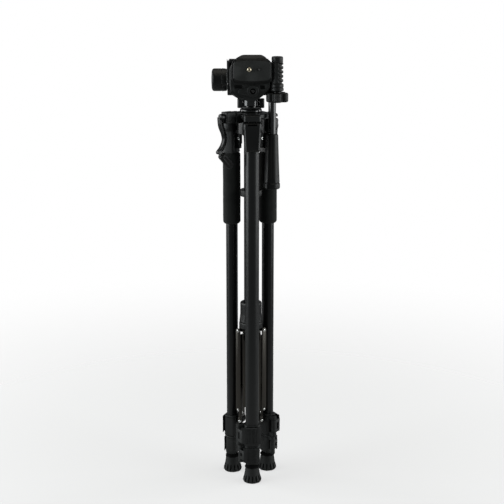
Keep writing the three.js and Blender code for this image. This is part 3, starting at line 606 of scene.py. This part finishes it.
for side, azimuth in AZIMUTHS.items():
    leg, middle, lower = f"{side}_leg", f"{side}_middle_section", f"{side}_lower_section"
    strut, link_body = f"{side}_strut", f"{side}_link"

    def add(name, shape, material, body, *nodes):
        return piece(f"{side}_{name}", shape, material, body, *[f"{side}_{n}" for n in nodes], turn=azimuth)

    add("casting_shell", CASTINGS[side], "satin", leg, "leg_casting")
    add("casting_tab", casting_tab(), "casting", leg)
    pivot = along_x(lathe([(2.1, -8), (2.5, -7.6), (2.5, 7.6), (2.1, 8)], 24))
    add("pivot_pin", pivot.moved(0, -35.5, 586.5), "pin", leg)
    add("upper_tube_skin", leg_tube(21.8, 18, 68.4, 570, 1.2), "tube", leg, "upper_tube")
    add("middle_tube_skin", leg_tube(18.7, 14.9, 38.5, 500, 1), "tube", middle, "middle_tube")
    add("lower_tube_skin", leg_tube(16, 12.2, 14, 470, 1), "tube", lower, "lower_tube")
    add("upper_collar_shell", COLLAR_UP + strut_lug(), "plastic", leg, "upper_lock_collar")
    add("lower_collar_shell", COLLAR_LOW + SKIRT, "plastic", middle, "lower_lock_collar")
    add("upper_lever_shell", LEVER_UP, "plastic", f"{side}_upper_lever", "upper_lock_lever")
    add("lower_lever_shell", LEVER_LOW, "plastic", f"{side}_lower_lever", "lower_lock_lever")
    add("foot_rubber", FOOT, "rubber", lower, "foot")
    # The cuff's near-black shadow material is painted shade between the foot and the lower lock.
    add("foot_cuff_painted_shade", CUFF, "shadow", lower)
    add("strut_channel_metal", CHANNEL, "strut", strut, "strut_channel")
    add("strut_link_metal", LINK, "strut", link_body, "strut_link")
    heads = NOTHING
    for sign in (-1, 1):
        heads = heads + rivet(sign * 14.1, STRUT_Y, 248.5, 2.3, 1.0, "x", sign)
        heads = heads + rivet(sign * 14.1, STRUT_Y, 112.6, 2.2, 1.0, "x", sign)
    add("strut_rivets", heads, "rivet", strut)
    ends = rivet(-8.4, STRUT_Y, 91, 2.5, 1.4, "x", -1) + rivet(8.4, STRUT_Y, 91, 2.5, 1.4, "x", 1)
    add("link_rivets", ends, "rivet", link_body)
    if side != "front":
        add("foam_grip", FOAM, "foam", leg, "foam_sleeve")
    eyelet_profile = [(1.2, 0), (2.1, 0), (2.3, 0.4), (2.0, 0.8), (1.3, 0.8), (1.1, 0.5)]
    eyelets = NOTHING
    for sign in (-1, 1):
        eyelet = lathe(eyelet_profile, 24, loop=True).turned((0, 1, 0), 90 * sign)
        eyelets = eyelets + eyelet.moved(sign * 3.5, -19.8, 561)
    add("tab_eyelets", eyelets, "rivet", leg)

# ---------------------------------------------------------------- spider, sleeve, column and hub
def spider_roof(top):
    outline = rounded_rectangle(-13.6, 13.6, -44.6, -10, 4.4, 8)
    levels = [(0.6, 594.7), (0, 595.3), (0, top - 3.6), (0.35, top - 1.9), (1.3, top - 0.8),
              (2.8, top - 0.1), (4.4, top)]
    return loft([[(x, y, z) for x, y in inset(outline, d)] for d, z in levels])


def spider_tongue():
    tongue = block(-6, 6, -35.5, -15, 581.7, 596, 0.6, 0.6)
    nose = along_x(lathe([(4.3, -6), (4.8, -5.5), (4.8, 5.5), (4.3, 6)], 32)).moved(0, -35.5, 586.5)
    return tongue + nose


def spider_body():
    profile = rounded([(12.0, 570.2), (20.6, 570.2), (21.5, 571.2), (21.5, 594.6), (26.4, 596.2), (27, 597),
                       (27, 602), (26, 603), (18.6, 603), (18.4, 601), (9.9, 601)], 0.7, 3)
    inside = [(9.9, 571.2), (11.4, 571)]
    return lathe(fine(profile, 2.2) + inside, 96, loop=True)


GRIP_PATH = lathe([(13.0, 560), (13.0, 620)], 48, *HANDLE)
CRANK_SEAT = block(-9.4, 9.4, -60, -21.9, 580, 620, 0.4, 0.4).turned((0, 0, 1), CRANK_AZIMUTH)
SPIDER = cut(spider_body(), CRANK_SEAT)
for side, azimuth in AZIMUTHS.items():
    roof = spider_roof(604.6 if side == "front" else 600).turned((0, 0, 1), azimuth)
    seat = GRIP_PATH if side == "right" else CRANK_SEAT
    SPIDER = SPIDER + cut(roof, seat) + spider_tongue().turned((0, 0, 1), azimuth)
piece("spider_casting", SPIDER, "satin", "spider_body", "spider", soften=0.2)

sleeve_profile = [(9.9, 150), (11, 150.3), (11, 598.4), (9.9, 598.6)]
sleeve_ring = rounded([(10.6, 471), (17.0, 471), (17.5, 471.6), (17.5, 480.4), (17.0, 481), (10.6, 481)],
                      0.6, 3)


def ring_ribs(a, r, z):
    return r - (0.45 if r > 17 and math.cos(20 * a) > 0.6 else 0)


piece("sleeve_tube", lathe(sleeve_profile, 72, loop=True), "tube", "spider_body", "centre_sleeve")
piece("sleeve_ring_skin", lathe(sleeve_ring, 120, radius=ring_ribs, loop=True), "moulding", "spider_body",
      "sleeve_ring")


def rack(a, r, z):
    """A toothed rack let into the side of the column that faces the crank."""
    off = abs((math.degrees(a) - (CRANK_AZIMUTH - 90) + 180) % 360 - 180)
    if r < 9 or off > 20 or z < 165 or z > 592:
        return r
    return r - 1.0 + (0.8 if (z / 4.0) % 1 < 0.5 else 0)


column_profile = fine([(9.4, 155), (9.5, 155.4)] + [(9.5, z) for z in range(157, 603)] + [(9.4, 603)], 2.01)
column_skin = lathe(column_profile + [(8.3, 603), (8.3, 155)], 72, radius=rack, loop=True)
piece("column_tube", column_skin, "tube", "column", "centre_column")
flange_profile = rounded([(9.2, 603.5), (15.6, 603.5), (17.2, 605.3), (17.2, 607.9), (15.6, 609.7),
                          (12.2, 609.7), (11.8, 610.0), (5, 610.0), (5, 618.1)], 0.9, 5)
piece("flange_skin", lathe(flange_profile, 96), "gloss", "column", "column_flange")

hub_profile = rounded([(11.4, 253.6), (18.4, 253.6), (19, 254.4), (19, 262), (18.4, 263), (17.4, 263.4),
                       (18.6, 264.6), (18.2, 268), (17.3, 277), (17.3, 294.4), (16.6, 296), (15.6, 296.5),
                       (12.6, 296.5), (11.4, 294.8)], 0.6, 4)


def hub_ribs(a, r, z):
    return r - (0.55 * max(0, math.cos(18 * a)) ** 4 if 266 < z < 293 and r > 15 else 0)


HUB = lathe(fine(hub_profile, 2.4), 144, radius=hub_ribs, loop=True)
for azimuth in AZIMUTHS.values():
    lug = block(-6, 6, -18.7, -11.8, 244.9, 254.6, 1, 0.8)
    pin = along_x(lathe([(2, -12.9), (2, 12.9)], 20)).moved(0, STRUT_Y, 248.5)
    HUB = HUB + (lug + pin).turned((0, 0, 1), azimuth)
piece("hub_shell", HUB, "moulding", "hub", "brace_hub")

# ---------------------------------------------------------------- crank, built facing -Y
def crank(name, shape, material, body, *nodes):
    piece(name, shape, material, body, *nodes, turn=CRANK_AZIMUTH)


inner_block = slab(rounded_rectangle(-8.8, 8.8, -33.8, -22.3, 1.6), 591, 606.6, 1.2, 4)
outer_block = slab(rounded_rectangle(-8, 8, -51, -33.7, 1.6), 591.6, 607.4, 1.2, 4)
skirt_in = block(-9.1, 9.1, -33.2, -22.4, 589.6, 592.6, 1, 0.5)
skirt_out = block(-8.3, 8.3, -51.2, -34.4, 590.2, 593.2, 1, 0.5)
crank("crank_gearcase", inner_block + outer_block + skirt_in + skirt_out, "casting", "spider_body",
      "crank_housing")
screws = rivet(-8.0, -48, CRANK_Z, 1.3, 0.5, "x", -1) + rivet(8.0, -48, CRANK_Z, 1.3, 0.5, "x", 1)
crank("gearcase_screws", screws, "pin", "spider_body")

ARM_LINE = smooth_line([(56.8, 600), (56.4, 587), (51.8, 574.5), (50.4, 564), (54.4, 554), (60.5, 546)], 8)
ARM_HALF = np.interp(np.linspace(0, 5, len(ARM_LINE)), range(6), [4.4, 3.4, 3.0, 2.7, 2.7, 3.4])
ARM_WIDE = 3.6
ARM_END = (0, -60.5, 546)


def arm_part(low, high, half):
    outline = [(-r, z) for r, z in ribbon(ARM_LINE, low, high)]
    return slab(outline, -half, half, 0.35, 2).turned((1, 0, 0), 90).turned((0, 0, 1), 90)


arm = arm_part(-ARM_HALF, ARM_HALF, 1.2)
arm = arm + arm_part(-ARM_HALF, -ARM_HALF + 0.9, ARM_WIDE) + arm_part(ARM_HALF - 0.9, ARM_HALF, ARM_WIDE)
for k in range(3, len(ARM_LINE) - 2, 2):
    r, z = ARM_LINE[k]
    d = ARM_LINE[k + 1] - ARM_LINE[k - 1]
    lean = math.degrees(math.atan2(d[0], -d[1]))
    rib = block(0.4 - ARM_WIDE, ARM_WIDE - 0.4, -ARM_HALF[k] + 0.4, ARM_HALF[k] - 0.4, -0.4, 0.4, 0.3, 0.2)
    arm = arm + rib.turned((1, 0, 0), lean).moved(0, -r, z)
disc_profile = rounded([(4.6, 51.8), (5.4, 52.2), (5.4, 57.6), (4.8, 58.5), (2.0, 58.5), (1.6, 57.9)],
                       0.7, 4)
hub_disc = along_y(lathe(disc_profile, 48)).moved(0, 0, CRANK_Z)
arm_end = along_x(lathe([(3.0, -3.8), (3.5, -3.4), (3.5, 3.4), (3.0, 3.8)], 32)).moved(*ARM_END)
shaft = along_y(lathe([(3.9, 24), (4, 24.4), (4, 52)], 32)).moved(0, 0, CRANK_Z)


def pinion_teeth(a, r, z):
    return r - 1.2 * max(0, math.cos(12 * a)) ** 0.5 if r > 5 else r


pinion_profile = [(4.6, 24), (6.2, 24.4), (6.2, 30.8), (4.6, 31.1)]
pinion = along_y(lathe(pinion_profile, 96, radius=pinion_teeth)).moved(0, 0, CRANK_Z)
crank("crank_lever", arm + hub_disc + arm_end + shaft + pinion, "satin", "crank", "crank_arm")
crank("crank_screw", rivet(0, -58.3, CRANK_Z, 1.9, 0.6, "y", 1), "pin", "crank")


def knob_ribs(a, r, z):
    return r - (0.34 * (0.5 + 0.5 * math.cos(30 * a)) if -31.6 < z < -8.2 else 0)


knob_profile = rounded([(4.6, -33.2), (5.6, -33.2), (6.3, -32.4), (6.3, -7.0), (5.6, -6.0), (4.8, -5.5),
                        (2.6, -5.2)], 0.6, 4)
knob = lathe(fine(knob_profile, 1.6), 180, radius=knob_ribs)
KNOB_TILT = 43
crank("crank_grip", knob.turned((1, 0, 0), KNOB_TILT).moved(*ARM_END), "moulding", "crank_handle",
      "crank_knob")
stub = lathe(rounded([(2.8, -5.6), (3.8, -5.2), (3.8, -4.2), (2.6, -3.8), (2.2, -1)], 0.4, 3), 32)
crank("crank_stub", stub.turned((1, 0, 0), KNOB_TILT).moved(*ARM_END), "pin", "crank_handle")

# ---------------------------------------------------------------- head
ring = lathe(rounded([(13.3, 610.3), (14.8, 610.3), (15.2, 610.9), (15.2, 612.6), (14.8, 613.2),
                      (13.3, 613.2)], 0.4, 3), 72, loop=True)
wings = NOTHING
for sign in (0, 180):
    outline = []
    for k in range(25):
        a = math.radians(-24 + 48 * k / 24)
        reach = 20.8 * (1 - 0.015 * math.cos(math.radians(k * 90)))
        outline.append((reach * math.cos(a), 15.5 * math.sin(a)))
    for degrees in (24, 12, 0, -12, -24):
        a = math.radians(degrees)
        outline.append((14.2 * math.cos(a), 14.2 * math.sin(a)))
    wings = wings + slab(outline, 610.6, 624.7, 0.7, 3).turned((0, 0, 1), sign)
piece("lock_ring_shell", ring + wings, "plastic", "pan_lock", "pan_lock_ring")

neck = lathe(rounded([(9.0, 613.6), (12.4, 613.6), (13.1, 614.6), (12.9, 617.2), (12.9, 621), (13.2, 624.6),
                      (13.2, 625.6)], 0.7, 4), 96)
post_outline = rounded_rectangle(-13, 13, -10.4, 10.4, 4.6, 6)
post = slab(post_outline, 625.1, TILT_Z, 0.4, 2)
bearing_profile = rounded([(11.8, -13), (13, -12), (13, -4), (12.5, -3.4), (12.5, 3.4), (13, 4), (13, 12),
                           (11.8, 13)], 0.5, 3)
bearing = along_x(lathe(bearing_profile, 72)).moved(0, 0, TILT_Z)
piece("pan_neck_shell", neck + post + bearing, "gloss", "pan", "pan_base")

DRAG = fine(rounded([(6.0, -61.0), (13.4, -60.5), (16.2, -59.4), (17.1, -58.2), (17.5, -56.6), (17.5, -46.0),
                     (17.1, -45.7), (17.1, -45.3), (17.5, -45.0), (17.5, -40.4), (17.3, -39.6),
                     (17.0, -37.6), (16.4, -37.1), (13, -37.05)], 0.5, 3), 1.6)


def drag_ribs(a, r, z):
    return r - (0.22 * (0.5 + 0.5 * math.cos(60 * a)) if -56 < z < -46.6 else 0)


piece("drag_knob_shell", along_x(lathe(DRAG, 240, radius=drag_ribs)).moved(0, 0, TILT_Z), "moulding",
      "drag_knob", "tilt_drag_knob")
dots = NOTHING
for k in range(20):
    a = 2 * math.pi * (k + 0.5) / 20
    dots = dots + ball(0.55, -43.4, 17.4 * math.sin(a), TILT_Z + 17.4 * math.cos(a), 8)
piece("drag_knob_dots", dots, "pin", "drag_knob")
piece("drag_axle", along_x(lathe([(3.6, -39), (4, -38.6), (4, 23.6), (3.6, 24)], 32)).moved(0, 0, TILT_Z),
      "pin", "drag_knob")


def cheek(x0, x1, face_left):
    """A round tilt cheek with a raised rim and a squared upper part."""
    rim = [(20.5, x0), (22.8, x0), (23.6, x0 + 0.3), (24, x0 + 1), (24, x1 - 1), (23.6, x1 - 0.3),
           (22.8, x1), (20.5, x1)]
    if face_left:
        rim = [(6, x0 + 1.4), (19.8, x0 + 1.4)] + rim + [(6, x1)]
    else:
        rim = [(6, x0)] + rim + [(19.8, x1 - 1.4), (6, x1 - 1.4)]
    disc = along_x(lathe(rounded(rim, 0.4, 3), 96)).moved(0, 0, TILT_Z)
    upper = block(x0, x1, -19.6, 2, 650, 684, 1.4, 1.4)
    return cut(disc + upper, block(x0 - 5, x1 + 5, -40, -19.6, 600, 700, 0.2, 0.2))


wall = block(-33.6, 27, -19.6, -15.8, 634, 688, 0.6, 0.8)
frame_shape = cheek(-36.3, -13.35, True) + cheek(13.35, 27, False) + wall
piece("tilt_frame_shell", frame_shape, "casting", "tilt", "tilt_frame")
# A thin bright-metal strip on the left cheek's outer edge: a painted highlight standing in for the glossy
# edge's reflection.
edge_highlight_strip = slab_x([(-19.4, 641), (-19.4, 684), (-12, 687), (1.6, 683), (1.6, 641)], -36.9, -36.2, 0.25, 2)
piece("tilt_edge_painted_highlight", edge_highlight_strip, "rivet", "tilt")

BARREL_X, BARREL_Y = 40.2, -35.0
flare_profile = rounded([(7.0, 641), (9.2, 641), (10, 642), (9.9, 645.4), (9.0, 646), (9.0, 647),
                         (9.9, 647.6), (9.6, 651.4), (8.8, 652.2), (3, 652.2)], 0.5, 3)
cap_profile = rounded([(3, 684.4), (8.8, 684.4), (8.8, 686), (8.3, 686.6), (8.8, 687.2), (8.8, 691.8),
                       (8.0, 693.2), (2.0, 693.4), (1.8, 692.6)], 0.5, 4)
bracket = lathe(flare_profile, 64, BARREL_X, BARREL_Y) + lathe(cap_profile, 64, BARREL_X, BARREL_Y)
bracket = bracket + lathe([(3, 650.8), (3, 686)], 32, BARREL_X, BARREL_Y)
bracket = bracket + block(BARREL_X - 6.4, BARREL_X + 6.4, -24.4, -16, 641.2, 691, 2.2, 1.2)
bracket = bracket + block(BARREL_X - 6.2, BARREL_X + 6.2, BARREL_Y, -20, 641.4, 652, 2, 0.8)
bracket = bracket + block(BARREL_X - 6.2, BARREL_X + 6.2, BARREL_Y, -20, 684.6, 690.8, 2, 0.8)
bracket = bracket + block(27.4, BARREL_X - 2, -19, -6, 646, 682, 1.2, 1)
socket_profile = rounded([(6.4, 641), (7.2, 641), (7.5, 641.6), (7.5, 666.4), (7.0, 667), (3, 667)], 0.5, 3)
bracket = bracket + lathe(socket_profile, 48, *HANDLE)
for dz in (0, 5, 10):
    bracket = bracket + block(BARREL_X - 6.7, BARREL_X + 6.7, -24.7, -17, 658 + dz, 660 + dz, 2.2, 0.4)
piece("side_bracket_shell", bracket, "casting", "tilt", "side_tilt_bracket")


def star(a, r, z):
    if r <= 12:
        return r
    lobe = (0.5 - 0.5 * math.cos(5 * a)) ** 2.4
    rib = 0.3 * (0.5 + 0.5 * math.cos(70 * a)) if r > 15 and lobe < 0.3 else 0
    return r - 5.2 * lobe - rib


star_profile = fine(rounded([(9, 624.4), (15.8, 624.4), (17.3, 625.8), (17.3, 637), (16.0, 638.4),
                             (8, 638.4)], 1.2, 5), 2.4)
star_body = lathe(star_profile, 300, radius=star)
star_neck = lathe(rounded([(6, 638), (6.4, 639), (6, 640.6), (3.5, 640.7)], 0.3, 3), 48)
star_screw = lathe([(3.4, 623.8), (3.6, 624.1), (3.6, 624.8)], 32)
piece("star_knob_shell", (star_body.turned((0, 0, 1), 270) + star_neck).moved(BARREL_X, BARREL_Y, 0),
      "moulding", "side_tilt_clamp", "side_tilt_knob")
piece("star_knob_cap", star_screw.moved(BARREL_X, BARREL_Y, 0), "rivet", "side_tilt_clamp")

rod_profile = rounded([(5.4, 556), (5.95, 556.6), (5.95, 660.6), (5.4, 661)], 0.4, 3)
piece("handle_rod_skin", lathe(rod_profile, 64, *HANDLE), "gloss", "tilt", "pan_handle_rod")

GRIP = rounded([(10.2, 485), (12.0, 485), (12.7, 486.2), (12.7, 492.8), (12.1, 493.6), (11.5, 494.2),
                (12.2, 495.2), (11.9, 505), (10.9, 530), (10.1, 556), (9.8, 567.5), (9.3, 569.8),
                (8.2, 571.3), (6.3, 571.7)], 0.7, 4)


def grip_flutes(a, r, z):
    if z < 497 or z > 568:
        return r
    fade = min(1, (z - 497) / 4, (568 - z) / 5)
    return r - 0.4 * fade * max(0, math.cos(8 * a)) ** 2


piece("handle_grip_shell", lathe(fine(GRIP, 2.2), 180, *HANDLE, grip_flutes), "moulding", "grip",
      "pan_handle_grip")

# ---------------------------------------------------------------- camera platform and plate
PLATFORM_OUTLINE = [(-32.5, 676), (-32.5, 648), (-31, 640), (-25.5, 633), (-19, 629.2), (0, 624.6),
                    (4, 624.2), (18.6, 633.5), (23.3, 639), (28.5, 644), (29.5, 650), (29.5, 678),
                    (24.5, 690.5), (17, 695.8), (-13, 695.8), (-23, 690.5)]


def round_outline(points, radius, steps=4):
    n = len(points)
    out = []
    for i in range(n):
        part = rounded([points[i - 1], points[i], points[(i + 1) % n]], radius, steps)
        out += part[1:-1]
    return out


def dense(points, step):
    out = []
    for a, b in zip(points, points[1:] + points[:1]):
        n = max(1, round(math.hypot(b[0] - a[0], b[1] - a[1]) / step))
        out += [(a[0] + (b[0] - a[0]) * k / n, a[1] + (b[1] - a[1]) * k / n) for k in range(n)]
    return out


BODY_OUTLINE = round_outline(PLATFORM_OUTLINE, 3.2)
front_part = slab_y(BODY_OUTLINE, -40.5, -31, 2.6, 5)
anticlockwise = BODY_OUTLINE[::-1] if area(BODY_OUTLINE) < 0 else BODY_OUTLINE
back_part = slab_y(inset(anticlockwise, 1.2), -31.6, -20, 1.2, 3)
tray = [block(-14, 19, -42, -36.5, 661, 688, 1, 0.5), block(-25.5, -12.6, -43, -36, 645.6, 650.6, 0.8, 0.4),
        block(14.2, 21.4, -43, -36, 644.2, 650.2, 0.8, 0.4)]
bevel = block(-60, 60, -30, 30, 0, 30, 1, 0.5).turned((1, 0, 0), 33).moved(0, -33.2, 695.8)
plat = cut(front_part, bevel, *tray) + back_part
hinge_block = block(27.6, 36.4, -40, -30, 654.6, 682, 2.4, 1.2)
for k in range(9):
    t = k / 8
    tooth = block(-1.0, 1.0, -41.2, -32.5, -1.9, 1.9, 0.4, 0.5).turned((0, 1, 0), 28)
    plat = plat + tooth.moved(-30.2 + 17.6 * t, 0, 639.6 - 10.6 * t ** 0.75)
plat = plat + hinge_block


def drum_skin(a, r, z):
    """Smooth cover on the left, slanting ribs on the right."""
    face = (math.degrees(a) + 90) % 360
    if r < 8 or not 8 < face < 150:
        return r
    phase = ((z + 13.2 * face / 360) / 6.6) % 1
    groove = max(0.0, 1 - abs(phase - 0.5) / 0.26)
    fade = min(1, (face - 8) / 10, (150 - face) / 10)
    return r - 2.2 * fade * min(1, groove * 1.7)


drum_profile = fine([(8.4, 652.6), (9.2, 653.2), (9.2, 683.4), (8.4, 684)], 0.5)
plat = plat + lathe(drum_profile, 144, BARREL_X, BARREL_Y, drum_skin)
piece("platform_shell", plat, "plastic", "platform", "camera_platform")


def bowed(left, right, low, high, bow, corner):
    cx, half = (left + right) / 2, (right - left) / 2
    out = []
    for x, z in dense(rounded_rectangle(left, right, low + bow, high - bow, corner, 8), 2.5):
        lift = bow * (1 - min(1, abs(x - cx) / half) ** 2)
        out.append((x, z + lift if z > (low + high) / 2 else z - lift))
    return out


SCREW_X, SCREW_Z, PIN_X = -2.3, 674.8, 12.2
screw_hole = along_y(lathe([(3.5, 30), (3.5, 60)], 40)).moved(SCREW_X, 0, SCREW_Z)
pin_hole = along_y(lathe([(2.2, 30), (2.2, 60)], 24)).moved(PIN_X, 0, SCREW_Z)
wide = slab_y(bowed(-29, 31.4, 651.2, 691.2, 2.4, 7), -43.6, -40.9, 0.9, 3)
face = slab_y(bowed(-26.6, 30.4, 654.4, 690.0, 2.4, 6), -46.2, -43.2, 1.3, 4)
piece("plate_shell", cut(wide + face, screw_hole, pin_hole), "moulding", "plate", "quick_release_plate")

pad = slab_y(bowed(-25, 29, 656.8, 688.4, 2.2, 4), -47.3, -46.1, 0.45, 3)
# The pad's lighter rubber colour is painted light, a brightened copy of the feet's rubber.
piece("pad_rubber", cut(pad, screw_hole, pin_hole), "pad", "plate", "plate_rubber_pad")


def thread(radius, pitch, depth, y0, y1, x, z):
    """A screw thread from y0, the tip, to y1."""
    steps, turns = 40, (y1 - y0) / pitch
    rows = int(turns * 12)
    rings = []
    for k in range(rows + 1):
        h = (y1 - y0) * k / rows
        ring = []
        for i in range(steps):
            a = 2 * math.pi * i / steps
            saw = abs(((h / pitch + i / steps) % 1) - 0.5) * 2
            r = radius - depth * saw - max(0, 1 - h / 1.2)
            ring.append((r * math.cos(a), r * math.sin(a), h))
        rings.append(ring)
    return loft(rings).turned((1, 0, 0), -90).moved(x, y0, z)


screw = thread(3.175, 1.27, 0.55, -52.6, -43.2, SCREW_X, SCREW_Z)
head_profile = rounded([(6.4, 41.2), (7, 41.5), (7, 42.7), (6.4, 43)], 0.3, 3)
head = along_y(lathe(head_profile, 48)).moved(SCREW_X, 0, SCREW_Z)
piece("screw_metal", screw + head, "steel", "screw", "camera_screw")
pin_profile = rounded([(1.8, 42), (1.9, 42.3), (1.9, 48.8), (1.3, 49.6), (0.5, 49.8)], 0.5, 4)
piece("pin_metal", along_y(lathe(pin_profile, 32)).moved(PIN_X, 0, SCREW_Z), "pin", "pin", "locating_pin")

LEVER_X, LEVER_Z = 3.3, 641.3
boss_profile = rounded([(9.0, 41), (9.4, 41.4), (9.4, 43.6), (8.6, 44.6), (5.2, 44.6), (4.6, 44.2),
                        (4.5, 42.8), (2.7, 42.8)], 0.4, 4)
boss = along_y(lathe(boss_profile, 72)).moved(LEVER_X, 0, LEVER_Z)
arm_outline = round_outline([(3, 647), (-12, 646.2), (-19, 643.4), (-19.8, 638.6), (-16, 636.4), (3, 634)],
                            2.2)
lever_arm = slab_y(arm_outline, -44, -41, 0.8, 3)
ribs = NOTHING
for k in range(3):
    ribs = ribs + block(-17.2, -7.4, -44.4, -43.4, 638.6 + 2.2 * k, 639.4 + 2.2 * k, 0.3, 0.3)
well = along_y(lathe([(4.5, 42.8), (4.5, 50)], 48)).moved(LEVER_X, 0, LEVER_Z)
piece("lever_shell", cut(boss + lever_arm, well) + ribs, "plastic", "release_lever", "plate_release_lever")
# A near-black disc at the bottom of the lever's well, in the shadow material: painted shade in the recess.
painted_shade_disc = along_y(lathe([(4.45, 42.6), (4.45, 42.95), (2.4, 43.0)], 40)).moved(LEVER_X, 0, LEVER_Z)
piece("lever_recess_painted_shade", painted_shade_disc, "shadow", "release_lever")
lever_screw_profile = rounded([(2.3, 42.4), (2.4, 43.4), (1.9, 44.0), (0.4, 44.2)], 0.4, 3)
lever_screw = along_y(lathe(lever_screw_profile, 32)).moved(LEVER_X, 0, LEVER_Z)
cross = [block(-2.2, 2.2, -45, -43.7, -0.35, 0.35, 0.2, 0.1).moved(LEVER_X, 0, LEVER_Z),
         block(-0.35, 0.35, -45, -43.7, -2.2, 2.2, 0.2, 0.1).moved(LEVER_X, 0, LEVER_Z)]
piece("lever_screw", cut(lever_screw, *cross), "pin", "release_lever")

# ---------------------------------------------------------------- floor, light and camera
FLOOR_RADIUS = 1.6


def floor_material():
    material, tree, shader = nodes_of("pale_floor")
    new, link = tree.nodes.new, tree.links.new
    shader.inputs["Base Color"].default_value = (0.93, 0.93, 0.93, 1)
    shader.inputs["Roughness"].default_value = 0.9
    shader.inputs["Specular IOR Level"].default_value = 0.1
    place = new("ShaderNodeTexCoord")
    length = new("ShaderNodeVectorMath")
    length.operation = "LENGTH"
    link(place.outputs["Object"], length.inputs[0])
    fade = new("ShaderNodeMapRange")
    fade.interpolation_type = "SMOOTHSTEP"
    fade.inputs["From Min"].default_value, fade.inputs["From Max"].default_value = 0.25, 1.3
    fade.inputs["To Min"].default_value, fade.inputs["To Max"].default_value = 0.4, 0.0
    link(length.outputs["Value"], fade.inputs["Value"])
    link(fade.outputs["Result"], shader.inputs["Alpha"])
    return material


work = bmesh.new()
bmesh.ops.create_circle(work, cap_ends=True, segments=96, radius=FLOOR_RADIUS)
floor_mesh = bpy.data.meshes.new("floor")
work.to_mesh(floor_mesh)
work.free()
floor = bpy.data.objects.new("floor", floor_mesh)
floor.location = (0, 0, -0.0002)
floor.data.materials.append(floor_material())
bpy.context.scene.collection.objects.link(floor)

world = bpy.data.worlds.new("studio")
bpy.context.scene.world = world
world.use_nodes = True
tree = world.node_tree
tree.nodes.clear()
new, link = tree.nodes.new, tree.links.new
out = new("ShaderNodeOutputWorld")
seen, glow, choose = new("ShaderNodeBackground"), new("ShaderNodeBackground"), new("ShaderNodeMixShader")
seen.inputs["Color"].default_value = (1, 1, 1, 1)
seen.inputs["Strength"].default_value = 1.0
glow.inputs["Color"].default_value = (0.93, 0.98, 1, 1)
glow.inputs["Strength"].default_value = 0.12
path = new("ShaderNodeLightPath")
link(path.outputs["Is Camera Ray"], choose.inputs["Fac"])
link(glow.outputs["Background"], choose.inputs[1])
link(seen.outputs["Background"], choose.inputs[2])
link(choose.outputs["Shader"], out.inputs["Surface"])


def softbox(name, location, target, size, energy, colour=(1, 1, 1)):
    light = bpy.data.lights.new(name, "AREA")
    light.shape, light.size, light.size_y = "RECTANGLE", size[0], size[1]
    light.energy, light.color = energy, colour
    obj = bpy.data.objects.new(name, light)
    obj.location = location
    obj.rotation_euler = (Vector(target) - Vector(location)).to_track_quat("-Z", "Y").to_euler()
    bpy.context.scene.collection.objects.link(obj)


softbox("key_left", (-1.75, -0.5, 0.85), (0, 0, 0.4), (1.3, 1.9), 24, (0.94, 0.99, 1))
softbox("key_right", (1.75, -0.5, 0.85), (0, 0, 0.4), (1.3, 1.9), 19, (0.96, 1, 1))
softbox("side_left", (-1.7, 0.6, 0.9), (0, 0, 0.45), (0.6, 1.8), 9)
softbox("side_right", (1.7, 0.6, 0.9), (0, 0, 0.45), (0.6, 1.8), 9)
softbox("overhead", (0, 0.1, 2.3), (0, 0, 0), (1.6, 1.6), 6, (1, 0.93, 0.82))

scene = bpy.context.scene
scene.view_settings.view_transform = "Standard"
target = Vector((AXIS[0] + 0.00176, AXIS[1], 0.3788))
elevation, distance = math.radians(14), 2.128
FRAME, FOCAL, SENSOR = 504, 1330, 36
camera_data = bpy.data.cameras.new("camera")
camera_data.lens = FOCAL / FRAME * SENSOR
camera_data.sensor_width = SENSOR
camera = bpy.data.objects.new("camera", camera_data)
camera.location = target + distance * Vector((0, -math.cos(elevation), math.sin(elevation)))
camera.rotation_euler = (target - camera.location).to_track_quat("-Z", "Y").to_euler()
bpy.context.scene.collection.objects.link(camera)
scene.camera = camera
